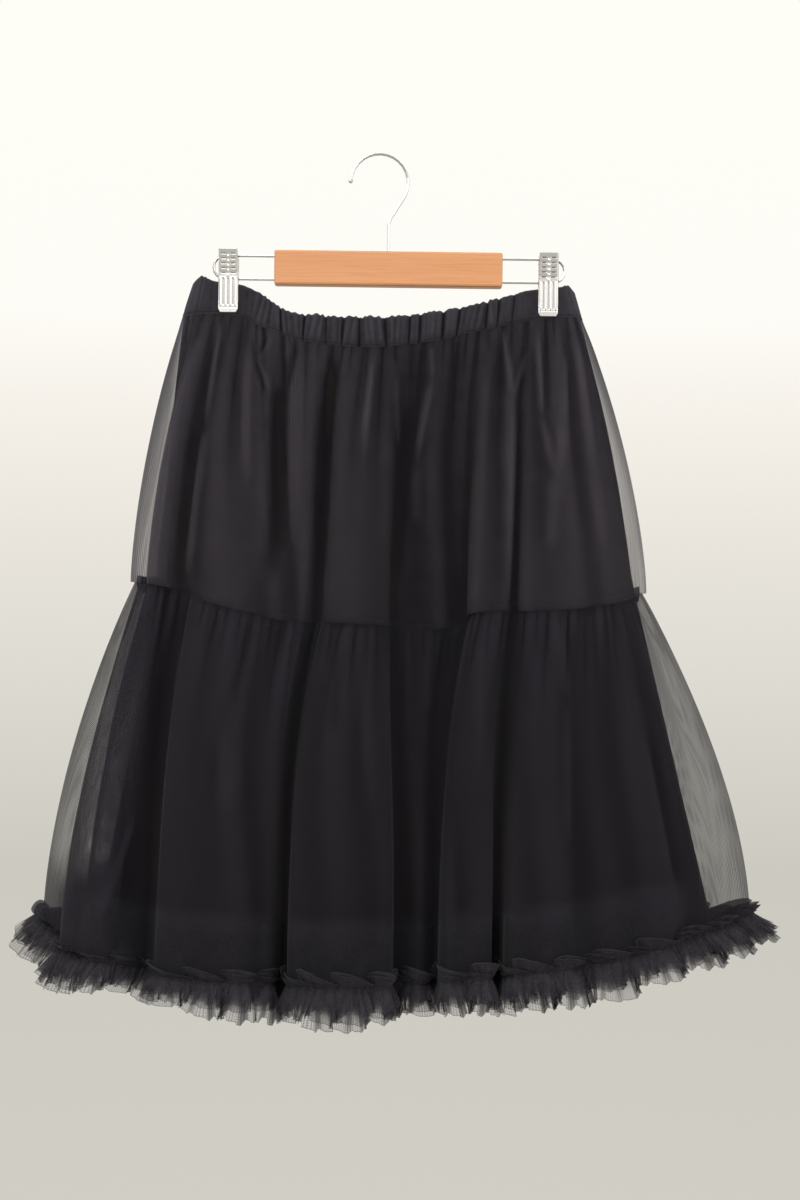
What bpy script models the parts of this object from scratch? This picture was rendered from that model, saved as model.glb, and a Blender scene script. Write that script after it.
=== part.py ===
"""A two-tier ruffle skirt of black net over an opaque lining, hanging from a clip hanger.

The garment faces -Y and hangs down -Z. The origin is the underside of the hook's arc, where
the hanger bears. All sizes below are in millimetres and become metres where points are made.
"""

import math
from collections import namedtuple

import bmesh
import bpy
import numpy as np
from mathutils import Matrix, Vector

MM = 0.001

# Hanger
BAR_WIDTH = 209.5
BAR_HEIGHT = 32.0
BAR_DEPTH = 14.0
BAR_CENTRE_X = 7.8
BAR_TOP_Z = -88.7
BAR_EDGE_RADIUS = 2.0
HOOK_WIRE = 2.8
HOOK_ARC_RADIUS = 26.5
HOOK_ARC_X = -1.5
HOOK_TIP_ANGLE = 177.0
HOOK_HEEL_ANGLE = -28.0
HOOK_ARC_STEPS = 16
HOOK_KINK = (9.1, -58.0)
HOOK_SHANK_X = 7.4
HOOK_SHANK_TOP_Z = -63.0
HOOK_SHANK_DEPTH = 15.0
HOOK_BALL_RADIUS = 2.3
RAIL_WIRE = 2.5
RAIL_TOP_Z = -94.0
RAIL_BOTTOM_Z = -115.4
RAIL_LEFT_END_X = -153.0
RAIL_RIGHT_END_X = 169.9
RAIL_GRIP = 16.0
RAIL_TURN_STEPS = 8
FIT_GAP = 0.3

# Clips
CLIP_LEFT_X = -139.0
CLIP_RIGHT_X = 154.8
CLIP_WIDTH = 18.6
CLIP_SHEET = 1.2
CORE_WIDTH = 8.0
CORE_DEPTH = 6.4
CORE_TOP_Z = -89.5
CORE_BOTTOM_Z = -117.3
RIDGE_COUNT = 4
RIDGE_HEIGHT = 1.0

# Cloth
CASING_WALL = 3.0
NET_WALL = 1.0
LINING_WALL = 1.0
SIDE_GAP = 0.3
LINING_SIDE_GAP = 0.5
EDGE_GAP = 0.5
LAYER_STEP = 0.9
CASING_CRINKLE = 2.2
CASING_PUFF = 1.6
CASING_EDGE_WAVE = 1.2
UPPER_GATHER = 4.0
LOWER_GATHER = 5.0
UPPER_SWELL = 1.5
LOWER_SWELL = 1.7
HEM_TURN = 4.0
RUFFLE_HEADING = 13.0
RUFFLE_DROP = 35.0
RUFFLE_SIDE_DROP = 26.0
RUFFLE_FLARE = 9.0
RUFFLE_SIDE_FLARE = 27.0
RUFFLE_HEADING_FLARE = 3.0
RUFFLE_WAVE = 8.0
RUFFLE_HEADING_WAVE = 5.0
RUFFLE_STITCH_STEP = 1.7
OVAL_HALF_WIDTH = 325.0
OVAL_HALF_DEPTH = 150.0
COLUMNS_A_WAVE = 4
UPPER_COLUMNS = 2
LOWER_COLUMNS = 4
LINING_COLUMNS = 3
TURN_PLACE = 0.1
EDGE_SAMPLES = 40
MOST_MITRE = 1.8

# The casing from one side fold to the other: its top and bottom edge, how far its middle layer
# stands from the hanger's plane, and how strongly it crinkles there (0 under a clip).
CasingRow = namedtuple("CasingRow", "name top_x top_z bottom_x bottom_z depth crinkle waves")
CASING = (
    CasingRow("left_fold", -170, -122, -180, -152, 1.65, 0.0, 1),
    CasingRow("left_roll", -164, -114, -174, -150, 1.65, 0.4, 1),
    CasingRow("left_clip_outside", -151, -118, -152, -148, 1.65, 0.0, 1),
    CasingRow("left_clip_inside", -127, -121, -128, -150, 1.65, 0.0, 3),
    CasingRow("left_drop", -97, -138, -100, -163, 8.0, 1.0, 3),
    CasingRow("left_hollow", -71, -149, -72, -173, 12.0, 1.0, 5),
    CasingRow("middle", -10, -152, -10, -179, 15.0, 1.0, 5),
    CasingRow("right_hollow", 45, -147, 46, -173, 14.0, 1.0, 4),
    CasingRow("right_rise", 96, -135, 96, -161, 8.0, 1.0, 4),
    CasingRow("right_clip_inside", 142, -122, 142, -150, 1.65, 0.0, 1),
    CasingRow("right_clip_outside", 167, -119, 168, -147, 1.65, 0.0, 1),
    CasingRow("right_roll", 172, -118, 180, -147, 1.65, 0.4, 1),
    CasingRow("right_fold", 178, -124, 186, -151, 1.65, 0.0, 0),
)

# The folds of the net, which run through both tiers. Each row is a ridge or a hollow, with its
# place at the casing, at the tier seam and at the hem. A depth is the distance from the
# hanger's plane, and room says how freely the hem ruffle waves there.
Fold = namedtuple("Fold", "name waist_x seam_x seam_depth seam_z hem_x hem_depth hem_z room waves")
FRONT_FOLDS = (
    Fold("left_seam", -181, -221, 0.3, -395, -297, 0.3, -700, 1.0, 2),
    Fold("left_roll", -175, -213, 10, -396, -277, 24, -720, 1.0, 3),
    Fold("side_lobe", -161, -203, 22, -397, -237, 66, -733, 1.0, 2),
    Fold("valley_1", -149, -180, 18, -402, -199, 44, -743, 0.4, 2),
    Fold("lobe_2_left", -138, -160, 32, -408, -183, 74, -741, 0.9, 3),
    Fold("lobe_2", -120, -120, 44, -420, -133, 94, -743, 1.0, 2),
    Fold("lobe_2_right", -98, -84, 38, -428, -97, 82, -747, 1.0, 1),
    Fold("lobe_2_fold", -67, -67, 40, -430, -87, 74, -749, 0.6, 1),
    Fold("valley_2", -41, -53, 29, -430, -76, 52, -753, 0.3, 2),
    Fold("lobe_3_left", -28, -43, 42, -429, -64, 88, -748, 0.9, 2),
    Fold("lobe_3", -10, -18, 54, -430, -28, 104, -745, 1.0, 2),
    Fold("lobe_3_right", 8, 6, 44, -432, 11, 92, -747, 0.9, 2),
    Fold("recess_left", 21, 19, 30, -434, 23, 58, -751, 0.4, 1),
    Fold("recess", 50, 45, 33, -436, 42, 62, -751, 0.7, 1),
    Fold("valley_3", 88, 80, 28, -428, 58, 52, -750, 0.3, 2),
    Fold("lobe_4_left", 101, 92, 46, -419, 70, 88, -742, 0.9, 2),
    Fold("lobe_4_right", 120, 114, 44, -417, 98, 84, -740, 0.9, 2),
    Fold("valley_4", 130, 125, 31, -418, 111, 60, -743, 0.3, 2),
    Fold("lobe_5_left", 140, 136, 44, -417, 125, 86, -737, 0.9, 2),
    Fold("lobe_5", 156, 161, 48, -416, 155, 92, -731, 1.0, 2),
    Fold("lobe_5_right", 167, 187, 40, -413, 191, 80, -728, 0.9, 3),
    Fold("lobe_6", 176, 208, 34, -410, 236, 74, -718, 1.0, 5),
    Fold("right_roll", 183, 237, 10, -402, 318, 26, -700, 1.0, 2),
    Fold("right_seam", 187, 244, 0.3, -399, 342, 0.3, -694, 1.0, 0),
)
BACK_FOLDS = (
    Fold("right_seam", 187, 244, 0.3, -399, 342, 0.3, -694, 1.0, 2),
    Fold("right_roll", 183, 238, 9, -401, 322, 18, -701, 1.0, 2),
    Fold("right_side_lobe", 172, 222, 19, -405, 284, 40, -711, 1.0, 2),
    Fold("valley_1", 156, 198, 14, -410, 246, 28, -721, 0.4, 2),
    Fold("lobe_1", 134, 170, 27, -414, 206, 46, -728, 1.0, 2),
    Fold("valley_2", 114, 142, 18, -418, 170, 30, -735, 0.4, 1),
    Fold("lobe_2_right", 100, 124, 28, -420, 150, 45, -738, 0.9, 2),
    Fold("lobe_2_left", 74, 88, 28, -422, 100, 46, -741, 0.9, 1),
    Fold("valley_3", 56, 66, 18, -424, 76, 29, -745, 0.3, 1),
    Fold("lobe_3_right", 44, 50, 28, -425, 56, 46, -744, 0.9, 2),
    Fold("lobe_3_left", 14, 12, 28, -427, 6, 47, -746, 0.9, 1),
    Fold("valley_4", -6, -10, 18, -428, -18, 28, -748, 0.3, 1),
    Fold("lobe_4_right", -20, -26, 27, -427, -38, 46, -745, 0.9, 2),
    Fold("lobe_4_left", -52, -66, 28, -424, -90, 47, -743, 0.9, 1),
    Fold("valley_5", -72, -88, 18, -420, -114, 29, -742, 0.3, 2),
    Fold("lobe_5", -100, -122, 27, -414, -156, 46, -737, 1.0, 2),
    Fold("valley_6", -128, -158, 16, -406, -200, 28, -730, 0.4, 2),
    Fold("left_side_lobe", -152, -188, 20, -400, -246, 42, -722, 1.0, 2),
    Fold("left_roll", -174, -214, 9, -396, -279, 20, -711, 1.0, 2),
    Fold("left_seam", -181, -221, 0.3, -395, -297, 0.3, -700, 1.0, 0),
)

# The lining's soft flutes, from its left edge to its right, at the casing, half way and its hem.
Flute = namedtuple("Flute", "name waist_x middle_x middle_depth hem_x hem_depth")
LINING_MIDDLE_Z = -390.0
LINING_HEM_SIDE_Z = -694.0
LINING_HEM_CENTRE_Z = -736.0
LINING_FLUTES = (
    Flute("left_seam", -176, -194, 0.5, -250, 0.5),
    Flute("left_turn", -171, -182, 8, -230, 17),
    Flute("ridge_1", -140, -142, 13, -172, 33),
    Flute("hollow_1", -95, -96, 13, -122, 27),
    Flute("ridge_2", -45, -45, 17, -60, 38),
    Flute("hollow_2", 5, 5, 15, 4, 31),
    Flute("ridge_3", 55, 60, 17, 70, 38),
    Flute("hollow_3", 100, 114, 14, 140, 28),
    Flute("ridge_4", 142, 166, 13, 208, 34),
    Flute("right_turn", 177, 221, 8, 288, 18),
    Flute("right_seam", 180, 236, 0.5, 311, 0.5),
)
BACK_LINING_SHARE = 0.6

UPPER_ROWS = (0.0, 0.12, 0.36, 0.68, 1.0)
LOWER_ROWS = (0.0, 0.08, 0.22, 0.48, 0.76, 1.0)
UPPER_GATHER_SHARE = (0.45, 1.0, 0.4, 0.0, 0.0)
LOWER_GATHER_SHARE = (0.3, 1.0, 0.6, 0.15, 0.0, 0.0)
LINING_ROWS = (0.0, 0.5, 1.0, 1.5, 2.0)


def clear_scene():
    for item in list(bpy.data.objects):
        bpy.data.objects.remove(item, do_unlink=True)


def collection(name):
    made = bpy.data.collections.new(name)
    bpy.context.scene.collection.children.link(made)
    return made


def material(name, colour, roughness, metallic=0.0):
    made = bpy.data.materials.new(name)
    made.use_nodes = True
    shader = made.node_tree.nodes["Principled BSDF"]
    shader.inputs["Base Color"].default_value = (*colour, 1.0)
    shader.inputs["Roughness"].default_value = roughness
    shader.inputs["Metallic"].default_value = metallic
    return made


def move_to(item, group):
    for old in list(item.users_collection):
        old.objects.unlink(item)
    group.objects.link(item)


def column(rows, name):
    return np.array([getattr(row, name) for row in rows], dtype=float)


def smooth(values, places):
    """A curve through the values at 0, 1, 2 ... that never swings past them, read at places."""
    steps = np.diff(values)
    slopes = np.empty(len(values))
    slopes[0], slopes[-1] = steps[0], steps[-1]
    product = steps[:-1] * steps[1:]
    total = steps[:-1] + steps[1:]
    turning = product <= 0
    slopes[1:-1] = np.where(turning, 0.0, 2 * product / np.where(turning, 1.0, total))
    low = np.clip(np.floor(places).astype(int), 0, len(values) - 2)
    part = places - low
    return (
        values[low] * (1 + 2 * part) * (1 - part) ** 2
        + slopes[low] * part * (1 - part) ** 2
        + values[low + 1] * part**2 * (3 - 2 * part)
        + slopes[low + 1] * part**2 * (part - 1)
    )


def sheer_ends(values, places):
    """Like smooth, but level at both ends, so that the two halves of a ring meet squarely."""
    mirrored = np.concatenate([values[1:2], values, values[-2:-1]])
    return smooth(mirrored, places + 1)


def places_of(rows, per_gap):
    """Even places between the rows, for rows that end without a turn."""
    gaps = len(rows) - 1
    counts = [per_gap] * gaps if isinstance(per_gap, int) else per_gap
    return np.concatenate([i + np.arange(n) / n for i, n in enumerate(counts)] + [[float(gaps)]])


def turned_places(rows, per_gap):
    """Even places between the rows, with one more beside each end so that the wall turns square."""
    even = places_of(rows, per_gap)
    return np.concatenate([even[:1], [TURN_PLACE], even[1:-1], [even[-1] - TURN_PLACE], even[-1:]])


def outward_normals(x, y):
    """Steps in plan that move a line outward by one unit, square to each stretch of it.

    The line runs counterclockwise seen from above. A sharp corner's step is held to MOST_MITRE.
    """
    run = np.hypot(np.diff(x), np.diff(y))
    across_x = np.diff(y) / run
    across_y = -np.diff(x) / run
    before_x, after_x = np.append(across_x[:1], across_x), np.append(across_x, across_x[-1:])
    before_y, after_y = np.append(across_y[:1], across_y), np.append(across_y, across_y[-1:])
    share = 1 + before_x * after_x + before_y * after_y
    share = np.maximum(share, 2 / MOST_MITRE**2)
    return (before_x + after_x) / share, (before_y + after_y) / share


def wave(places, waves_a_gap):
    """A wave along the places, with the same number of turns in each gap or one for each place."""
    return np.sin(2 * math.pi * waves_a_gap * (places - np.floor(places)))


def ease_ends(rows, places):
    """1 along a row, falling to 0 over its first and last gap."""
    return np.clip(np.minimum(places, len(rows) - 1 - places), 0, 1)


def casing_edge(edge, places):
    return sheer_ends(column(CASING, edge + "_x"), places), smooth(column(CASING, edge + "_z"), places)


def under_casing(x):
    """Depth and height of the casing's lower edge at x."""
    places = places_of(CASING, EDGE_SAMPLES)
    edge_x, edge_z = casing_edge("bottom", places)
    depth = smooth(column(CASING, "depth"), places)
    return np.interp(x, edge_x, depth), np.interp(x, edge_x, edge_z)


def shell(name, rows, wall, group, finish, even=True):
    """One wall through rows of (x, y, z) columns. Its rows run down, its columns counterclockwise."""
    mesh = bpy.data.meshes.new(name)
    build = bmesh.new()
    grid = [[build.verts.new(Vector(point) * MM) for point in zip(*row)] for row in rows]
    for upper, lower in zip(grid, grid[1:]):
        for i in range(len(upper) - 1):
            build.faces.new((upper[i], lower[i], lower[i + 1], upper[i + 1]))
    build.to_mesh(mesh)
    build.free()
    mesh.shade_smooth()
    item = bpy.data.objects.new(name, mesh)
    group.objects.link(item)
    item.data.materials.append(finish)
    thick = item.modifiers.new("Wall", "SOLIDIFY")
    thick.thickness = wall * MM
    thick.offset = 0.0
    thick.use_even_offset = even
    thick.use_rim = True
    return item


def make_casing(side, folds, group, finish):
    """Half of the waist casing. side is -1 for the front and 1 for the back."""
    waves = column(CASING, "waves")
    places = places_of(CASING, [int(n) * COLUMNS_A_WAVE for n in waves[:-1]])
    gap = np.minimum(places, len(CASING) - 2).astype(int)
    ripple = wave(places, waves[gap])
    crinkle = smooth(column(CASING, "crinkle"), places)
    depth = smooth(column(CASING, "depth"), places)
    top_x, top_z = casing_edge("top", places)
    low_x, low_z = casing_edge("bottom", places)
    net_x, _, net_z = fold_ring(folds, "waist", turned_places(folds, UPPER_COLUMNS))
    order = np.argsort(net_x)
    low_z = np.interp(low_x, net_x[order], net_z[order] + EDGE_GAP)
    rows = []
    for share, puff in ((0.0, 0.0), (0.5, CASING_PUFF), (1.0, 0.0)):
        x = top_x + (low_x - top_x) * share
        z = top_z + (low_z - top_z) * share
        z = z + CASING_EDGE_WAVE * crinkle * ripple * (1 - share)
        out_x, out_y = outward_normals(x, -depth)
        lift = crinkle * (puff + CASING_CRINKLE * (1 + ripple) / 2)
        rows.append((x + out_x * lift, side * (depth - out_y * lift), z))
    name = "waistband_front" if side < 0 else "waistband_back"
    return shell(name, turned(rows, side), CASING_WALL, group, finish, even=False)


def turned(rows, side):
    """Rows made for the front run the other way round at the back."""
    if side < 0:
        return rows
    return [tuple(part[::-1] for part in row) for row in rows]


def fold_ring(folds, level, places):
    """x, depth and height of the net at one named level of its folds."""
    x = sheer_ends(column(folds, level + "_x"), places)
    if level == "waist":
        depth, z = under_casing(x)
        depth = SIDE_GAP + (depth + LAYER_STEP - SIDE_GAP) * ease_ends(folds, places)
        return x, depth, z - EDGE_GAP
    depth = smooth(column(folds, level + "_depth"), places)
    return x, depth, smooth(column(folds, level + "_z"), places)


def seam_ring(folds, places):
    """The lower tier's upper edge: it follows each straight stretch of the upper tier's edge."""
    ends = turned_places(folds, UPPER_COLUMNS)
    x, depth, z = (np.interp(places, ends, part) for part in fold_ring(folds, "seam", ends))
    return x, depth, z - EDGE_GAP


def tier_rows(top, low, side, shares, swell, lift, lift_shares):
    """Rows of one tier between two rings, with gathers that die out below its upper edge."""
    rows = []
    for share, lifted in zip(shares, lift_shares):
        opened = 1 - (1 - share) ** swell
        x = top[0] + (low[0] - top[0]) * opened
        y = side * (top[1] + (low[1] - top[1]) * opened)
        z = top[2] + (low[2] - top[2]) * share
        out_x, out_y = outward_normals(x, y)
        rows.append((x + out_x * lift * lifted, y + out_y * lift * lifted, z))
    return rows


def upper_tier_rows(folds, side):
    places = turned_places(folds, UPPER_COLUMNS)
    pairs = np.sin(math.pi * places)
    lift = UPPER_GATHER * (1 + pairs) / 2 * ease_ends(folds, places)
    top = fold_ring(folds, "waist", places)
    low = fold_ring(folds, "seam", places)
    return tier_rows(top, low, side, UPPER_ROWS, UPPER_SWELL, lift, UPPER_GATHER_SHARE)


def lower_tier_rows(folds, side):
    places = turned_places(folds, LOWER_COLUMNS)
    lift = LOWER_GATHER * (1 + wave(places, 1)) / 2 * ease_ends(folds, places)
    low_x, low_depth, low_z = fold_ring(folds, "hem", places)
    top = seam_ring(folds, places)
    low = (low_x, low_depth, low_z - HEM_TURN)
    return tier_rows(top, low, side, LOWER_ROWS, LOWER_SWELL, lift, LOWER_GATHER_SHARE)


def make_tiers(group, finish):
    """The four net panels. Returns the lower tier's hem rows for the ruffle."""
    hems = {}
    for half, side, folds in (("front", -1, FRONT_FOLDS), ("back", 1, BACK_FOLDS)):
        shell("upper_tier_" + half, upper_tier_rows(folds, side), NET_WALL, group, finish)
        rows = lower_tier_rows(folds, side)
        shell("lower_tier_" + half, rows, NET_WALL, group, finish)
        hems[half] = rows[-1]
    return hems


def between(values, counts):
    """The values of a broken line with extra points on each of its straight stretches."""
    parts = [a + (b - a) * np.arange(n) / n for a, b, n in zip(values, values[1:], counts)]
    return np.concatenate(parts + [values[-1:]])


def make_ruffle(half, folds, hem, group, finish):
    """The gathered strip on the hem, made from the hem's own points, moved out."""
    tier_places = turned_places(folds, LOWER_COLUMNS)
    gaps = np.floor(tier_places[:-1]).astype(int)
    waves = column(folds, "waves").astype(int)
    counts = np.where(np.diff(tier_places) < 1 / LOWER_COLUMNS - TURN_PLACE / 2, 1, waves[gaps])
    room = smooth(column(folds, "room"), tier_places) ** 2
    step_x, step_y = outward_normals(hem[0], hem[1])
    places, x, y, z, step_x, step_y, room = (
        between(values, counts)
        for values in (tier_places, hem[0], hem[1], hem[2], step_x, step_y, room)
    )
    oval_x = x / OVAL_HALF_WIDTH**2
    oval_y = y / OVAL_HALF_DEPTH**2
    oval = np.hypot(oval_x, oval_y)
    oval_x, oval_y = oval_x / oval, oval_y / oval
    sideways = np.abs(oval_x) ** 3
    gap = np.minimum(places, len(folds) - 2).astype(int)
    ripple = wave(places, waves[gap]) * ease_ends(folds, places)
    stitch_z = z + HEM_TURN
    drop = RUFFLE_DROP + (RUFFLE_SIDE_DROP - RUFFLE_DROP) * sideways
    flare = RUFFLE_FLARE + (RUFFLE_SIDE_FLARE - RUFFLE_FLARE) * sideways
    heading_lift = RUFFLE_STITCH_STEP + RUFFLE_HEADING_WAVE * room * (1 - ripple) / 2
    hem_lift = RUFFLE_STITCH_STEP + RUFFLE_WAVE * room * ripple
    rows = []
    for height, out, lift in (
        (RUFFLE_HEADING, RUFFLE_HEADING_FLARE, heading_lift),
        (0.0, 0.0, RUFFLE_STITCH_STEP),
        (-drop, flare, hem_lift),
    ):
        row_x = x + oval_x * out + step_x * lift
        row_y = y + oval_y * out + step_y * lift
        rows.append((row_x, row_y, stitch_z + height))
    return shell("hem_ruffle_" + half, rows, NET_WALL, group, finish)


def make_lining(side, group, finish):
    places = turned_places(LINING_FLUTES, LINING_COLUMNS)
    share = 1.0 if side < 0 else BACK_LINING_SHARE
    ends = ease_ends(LINING_FLUTES, places)
    waist_x = sheer_ends(column(LINING_FLUTES, "waist_x"), places)
    waist_depth, waist_z = under_casing(waist_x)
    waist_depth = LINING_SIDE_GAP + (waist_depth - LAYER_STEP - LINING_SIDE_GAP) * ends
    middle_x = sheer_ends(column(LINING_FLUTES, "middle_x"), places)
    middle_depth = smooth(column(LINING_FLUTES, "middle_depth"), places)
    hem_x = sheer_ends(column(LINING_FLUTES, "hem_x"), places)
    hem_depth = smooth(column(LINING_FLUTES, "hem_depth"), places)
    middle_depth = LINING_SIDE_GAP + (middle_depth - LINING_SIDE_GAP) * share
    hem_depth = LINING_SIDE_GAP + (hem_depth - LINING_SIDE_GAP) * share
    centre = 1 - np.abs(np.linspace(-1, 1, len(places))) ** 2
    hem_z = LINING_HEM_SIDE_Z + (LINING_HEM_CENTRE_Z - LINING_HEM_SIDE_Z) * centre
    levels = (
        (waist_x, waist_depth, waist_z - EDGE_GAP),
        (middle_x, middle_depth, np.full(len(places), LINING_MIDDLE_Z)),
        (hem_x, hem_depth, hem_z),
    )
    rows = []
    for level in LINING_ROWS:
        low = min(int(level), 1)
        part = level - low
        x, depth, z = (a + (b - a) * part for a, b in zip(levels[low], levels[low + 1]))
        rows.append((x, side * depth, z))
    name = "lining_front" if side < 0 else "lining_back"
    return shell(name, turned(rows, side), LINING_WALL, group, finish)


def wire(name, points, diameter, group, finish):
    """A round wire along points given as (x, z) in the hanger's plane."""
    data = bpy.data.curves.new(name, "CURVE")
    data.dimensions = "3D"
    data.bevel_depth = diameter / 2 * MM
    data.bevel_resolution = 2
    data.use_fill_caps = True
    line = data.splines.new("POLY")
    line.points.add(len(points) - 1)
    for point, (x, z) in zip(line.points, points):
        point.co = (x * MM, 0.0, z * MM, 1.0)
    item = bpy.data.objects.new(name, data)
    group.objects.link(item)
    item.data.materials.append(finish)
    return item


def as_mesh(item):
    """The curve as a closed mesh object of the same name."""
    graph = bpy.context.evaluated_depsgraph_get()
    mesh = bpy.data.meshes.new_from_object(item.evaluated_get(graph))
    build = bmesh.new()
    build.from_mesh(mesh)
    bmesh.ops.remove_doubles(build, verts=build.verts, dist=1e-6)
    build.to_mesh(mesh)
    build.free()
    made = bpy.data.objects.new(item.name, mesh)
    made.matrix_world = item.matrix_world
    group = item.users_collection[0]
    name = item.name
    bpy.data.objects.remove(item, do_unlink=True)
    group.objects.link(made)
    made.name = name
    return made


def combine(item, other, operation, cutters):
    """A Boolean of item with a helper, which moves to the cutters."""
    move_to(other, cutters)
    other.hide_render = True
    other.display_type = "WIRE"
    step = item.modifiers.new(operation.title(), "BOOLEAN")
    step.operation = operation
    step.object = other


def arc(centre, radius, start, end, steps):
    """Points on a circle in the hanger's plane, in degrees from +X towards +Z."""
    angles = np.radians(np.linspace(start, end, steps + 1))
    return [(centre[0] + radius * math.cos(a), centre[1] + radius * math.sin(a)) for a in angles]


def cylinder(name, radius, length, axis, centre, sides=16):
    bpy.ops.mesh.primitive_cylinder_add(vertices=sides, radius=radius * MM, depth=length * MM)
    item = bpy.context.active_object
    item.name = name
    turn = Matrix.Identity(4) if axis == "Z" else Matrix.Rotation(math.radians(90), 4, "Y")
    item.data.transform(turn)
    item.location = Vector(centre) * MM
    return item


def box(name, size, centre, group, finish=None):
    bpy.ops.mesh.primitive_cube_add(size=1.0)
    item = bpy.context.active_object
    item.name = name
    item.data.transform(Matrix.Diagonal((*[side * MM for side in size], 1.0)))
    item.location = Vector(centre) * MM
    move_to(item, group)
    if finish:
        item.data.materials.append(finish)
    return item


def rounded(item, radius, segments):
    edge = item.modifiers.new("Rounded edges", "BEVEL")
    edge.width = radius * MM
    edge.segments = segments
    edge.limit_method = "ANGLE"
    item.data.shade_smooth()
    item.data.set_sharp_from_angle(angle=math.radians(40))


def make_bar(group, cutters, finish):
    bar = box(
        "hanger_bar",
        (BAR_WIDTH, BAR_DEPTH, BAR_HEIGHT),
        (BAR_CENTRE_X, 0, BAR_TOP_Z - BAR_HEIGHT / 2),
        group,
        finish,
    )
    rounded(bar, BAR_EDGE_RADIUS, 2)
    bore = RAIL_WIRE / 2 + FIT_GAP
    for name, end in (("left", -1), ("right", 1)):
        face_x = BAR_CENTRE_X + end * BAR_WIDTH / 2
        for level, z in (("top", RAIL_TOP_Z), ("bottom", RAIL_BOTTOM_Z)):
            cutter = cylinder(
                f"bore_{name}_{level}", bore, 2 * (RAIL_GRIP + FIT_GAP), "X", (face_x, 0, z)
            )
            combine(bar, cutter, "DIFFERENCE", cutters)
    shank = cylinder(
        "bore_hook",
        HOOK_WIRE / 2 + FIT_GAP,
        2 * (HOOK_SHANK_DEPTH + FIT_GAP),
        "Z",
        (HOOK_SHANK_X, 0, BAR_TOP_Z),
    )
    combine(bar, shank, "DIFFERENCE", cutters)
    return bar


def make_hook(group, cutters, finish):
    """A round arc, a slanted heel and a straight shank, with a ball on the open end."""
    centre = (HOOK_ARC_X, HOOK_WIRE / 2 - HOOK_ARC_RADIUS)
    points = arc(centre, HOOK_ARC_RADIUS, HOOK_TIP_ANGLE, HOOK_HEEL_ANGLE, HOOK_ARC_STEPS)
    points += [
        HOOK_KINK,
        (HOOK_SHANK_X, HOOK_SHANK_TOP_Z),
        (HOOK_SHANK_X, BAR_TOP_Z - HOOK_SHANK_DEPTH),
    ]
    tip = points[0]
    hook = as_mesh(wire("hanger_hook", points, HOOK_WIRE, group, finish))
    bpy.ops.mesh.primitive_uv_sphere_add(segments=10, ring_count=6, radius=HOOK_BALL_RADIUS * MM)
    ball = bpy.context.active_object
    ball.name = "hook_ball"
    ball.location = Vector((tip[0], 0, tip[1])) * MM
    combine(hook, ball, "UNION", cutters)
    hook.data.shade_smooth()
    return hook


def make_rail(name, side, end_x, group, finish):
    """A wire loop that leaves one end of the bar, turns back and enters it again."""
    face_x = BAR_CENTRE_X + side * BAR_WIDTH / 2
    inner_x = face_x - side * RAIL_GRIP
    radius = (RAIL_TOP_Z - RAIL_BOTTOM_Z) / 2
    centre = (end_x - side * radius, (RAIL_TOP_Z + RAIL_BOTTOM_Z) / 2)
    start, end = (90, -90) if side > 0 else (90, 270)
    points = [(inner_x, RAIL_TOP_Z)]
    points += arc(centre, radius, start, end, RAIL_TURN_STEPS)
    points += [(inner_x, RAIL_BOTTOM_Z)]
    return wire(name, points, RAIL_WIRE, group, finish)


# A jaw from its lever end down to its lip: height, how far its plate stands out from the
# hanger's plane, and the ridge that the row carries: across, along or none.
JawRow = namedtuple("JawRow", "z out ridge")
JAW = (
    JawRow(-89.0, 8.2, "none"),
    JawRow(-91.0, 7.8, "across"),
    JawRow(-93.5, 7.3, "none"),
    JawRow(-96.0, 6.8, "across"),
    JawRow(-98.5, 6.3, "none"),
    JawRow(-101.0, 5.9, "across"),
    JawRow(-103.5, 5.5, "none"),
    JawRow(-106.0, 5.1, "across"),
    JawRow(-110.0, 4.3, "none"),
    JawRow(-113.0, 4.1, "along"),
    JawRow(-140.0, 4.1, "along"),
    JawRow(-143.0, 4.1, "none"),
    JawRow(-146.5, 4.1, "none"),
)


def make_jaw(name, centre_x, side, group, finish):
    """A ribbed sheet-metal jaw. side is -1 for the front jaw and 1 for the back one."""
    across = np.linspace(-0.5, 0.5, 2 * RIDGE_COUNT + 1)
    raised = (1 - np.cos(np.arange(len(across)) * math.pi)) / 2
    middle = np.abs(across) > 0.1
    rows = []
    for row in JAW:
        ridge = {"along": raised, "across": middle * 1.0, "none": raised * 0.0}[row.ridge]
        depth = row.out + RIDGE_HEIGHT * ridge
        x = centre_x + across * CLIP_WIDTH
        rows.append((x, side * depth, np.full(len(across), row.z)))
    return shell(name, turned(rows, side), CLIP_SHEET, group, finish)


def make_clip(name, centre_x, group, cutters, finish):
    core = box(
        name + "_core",
        (CORE_WIDTH, CORE_DEPTH, CORE_TOP_Z - CORE_BOTTOM_Z),
        (centre_x, 0, (CORE_TOP_Z + CORE_BOTTOM_Z) / 2),
        group,
        finish,
    )
    for level, z in (("top", RAIL_TOP_Z), ("bottom", RAIL_BOTTOM_Z)):
        bore = cylinder(
            f"{name}_bore_{level}", RAIL_WIRE / 2 + FIT_GAP, 2 * CORE_WIDTH, "X", (centre_x, 0, z)
        )
        combine(core, bore, "DIFFERENCE", cutters)
    make_jaw(name + "_jaw_front", centre_x, -1, group, finish)
    make_jaw(name + "_jaw_back", centre_x, 1, group, finish)


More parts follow.
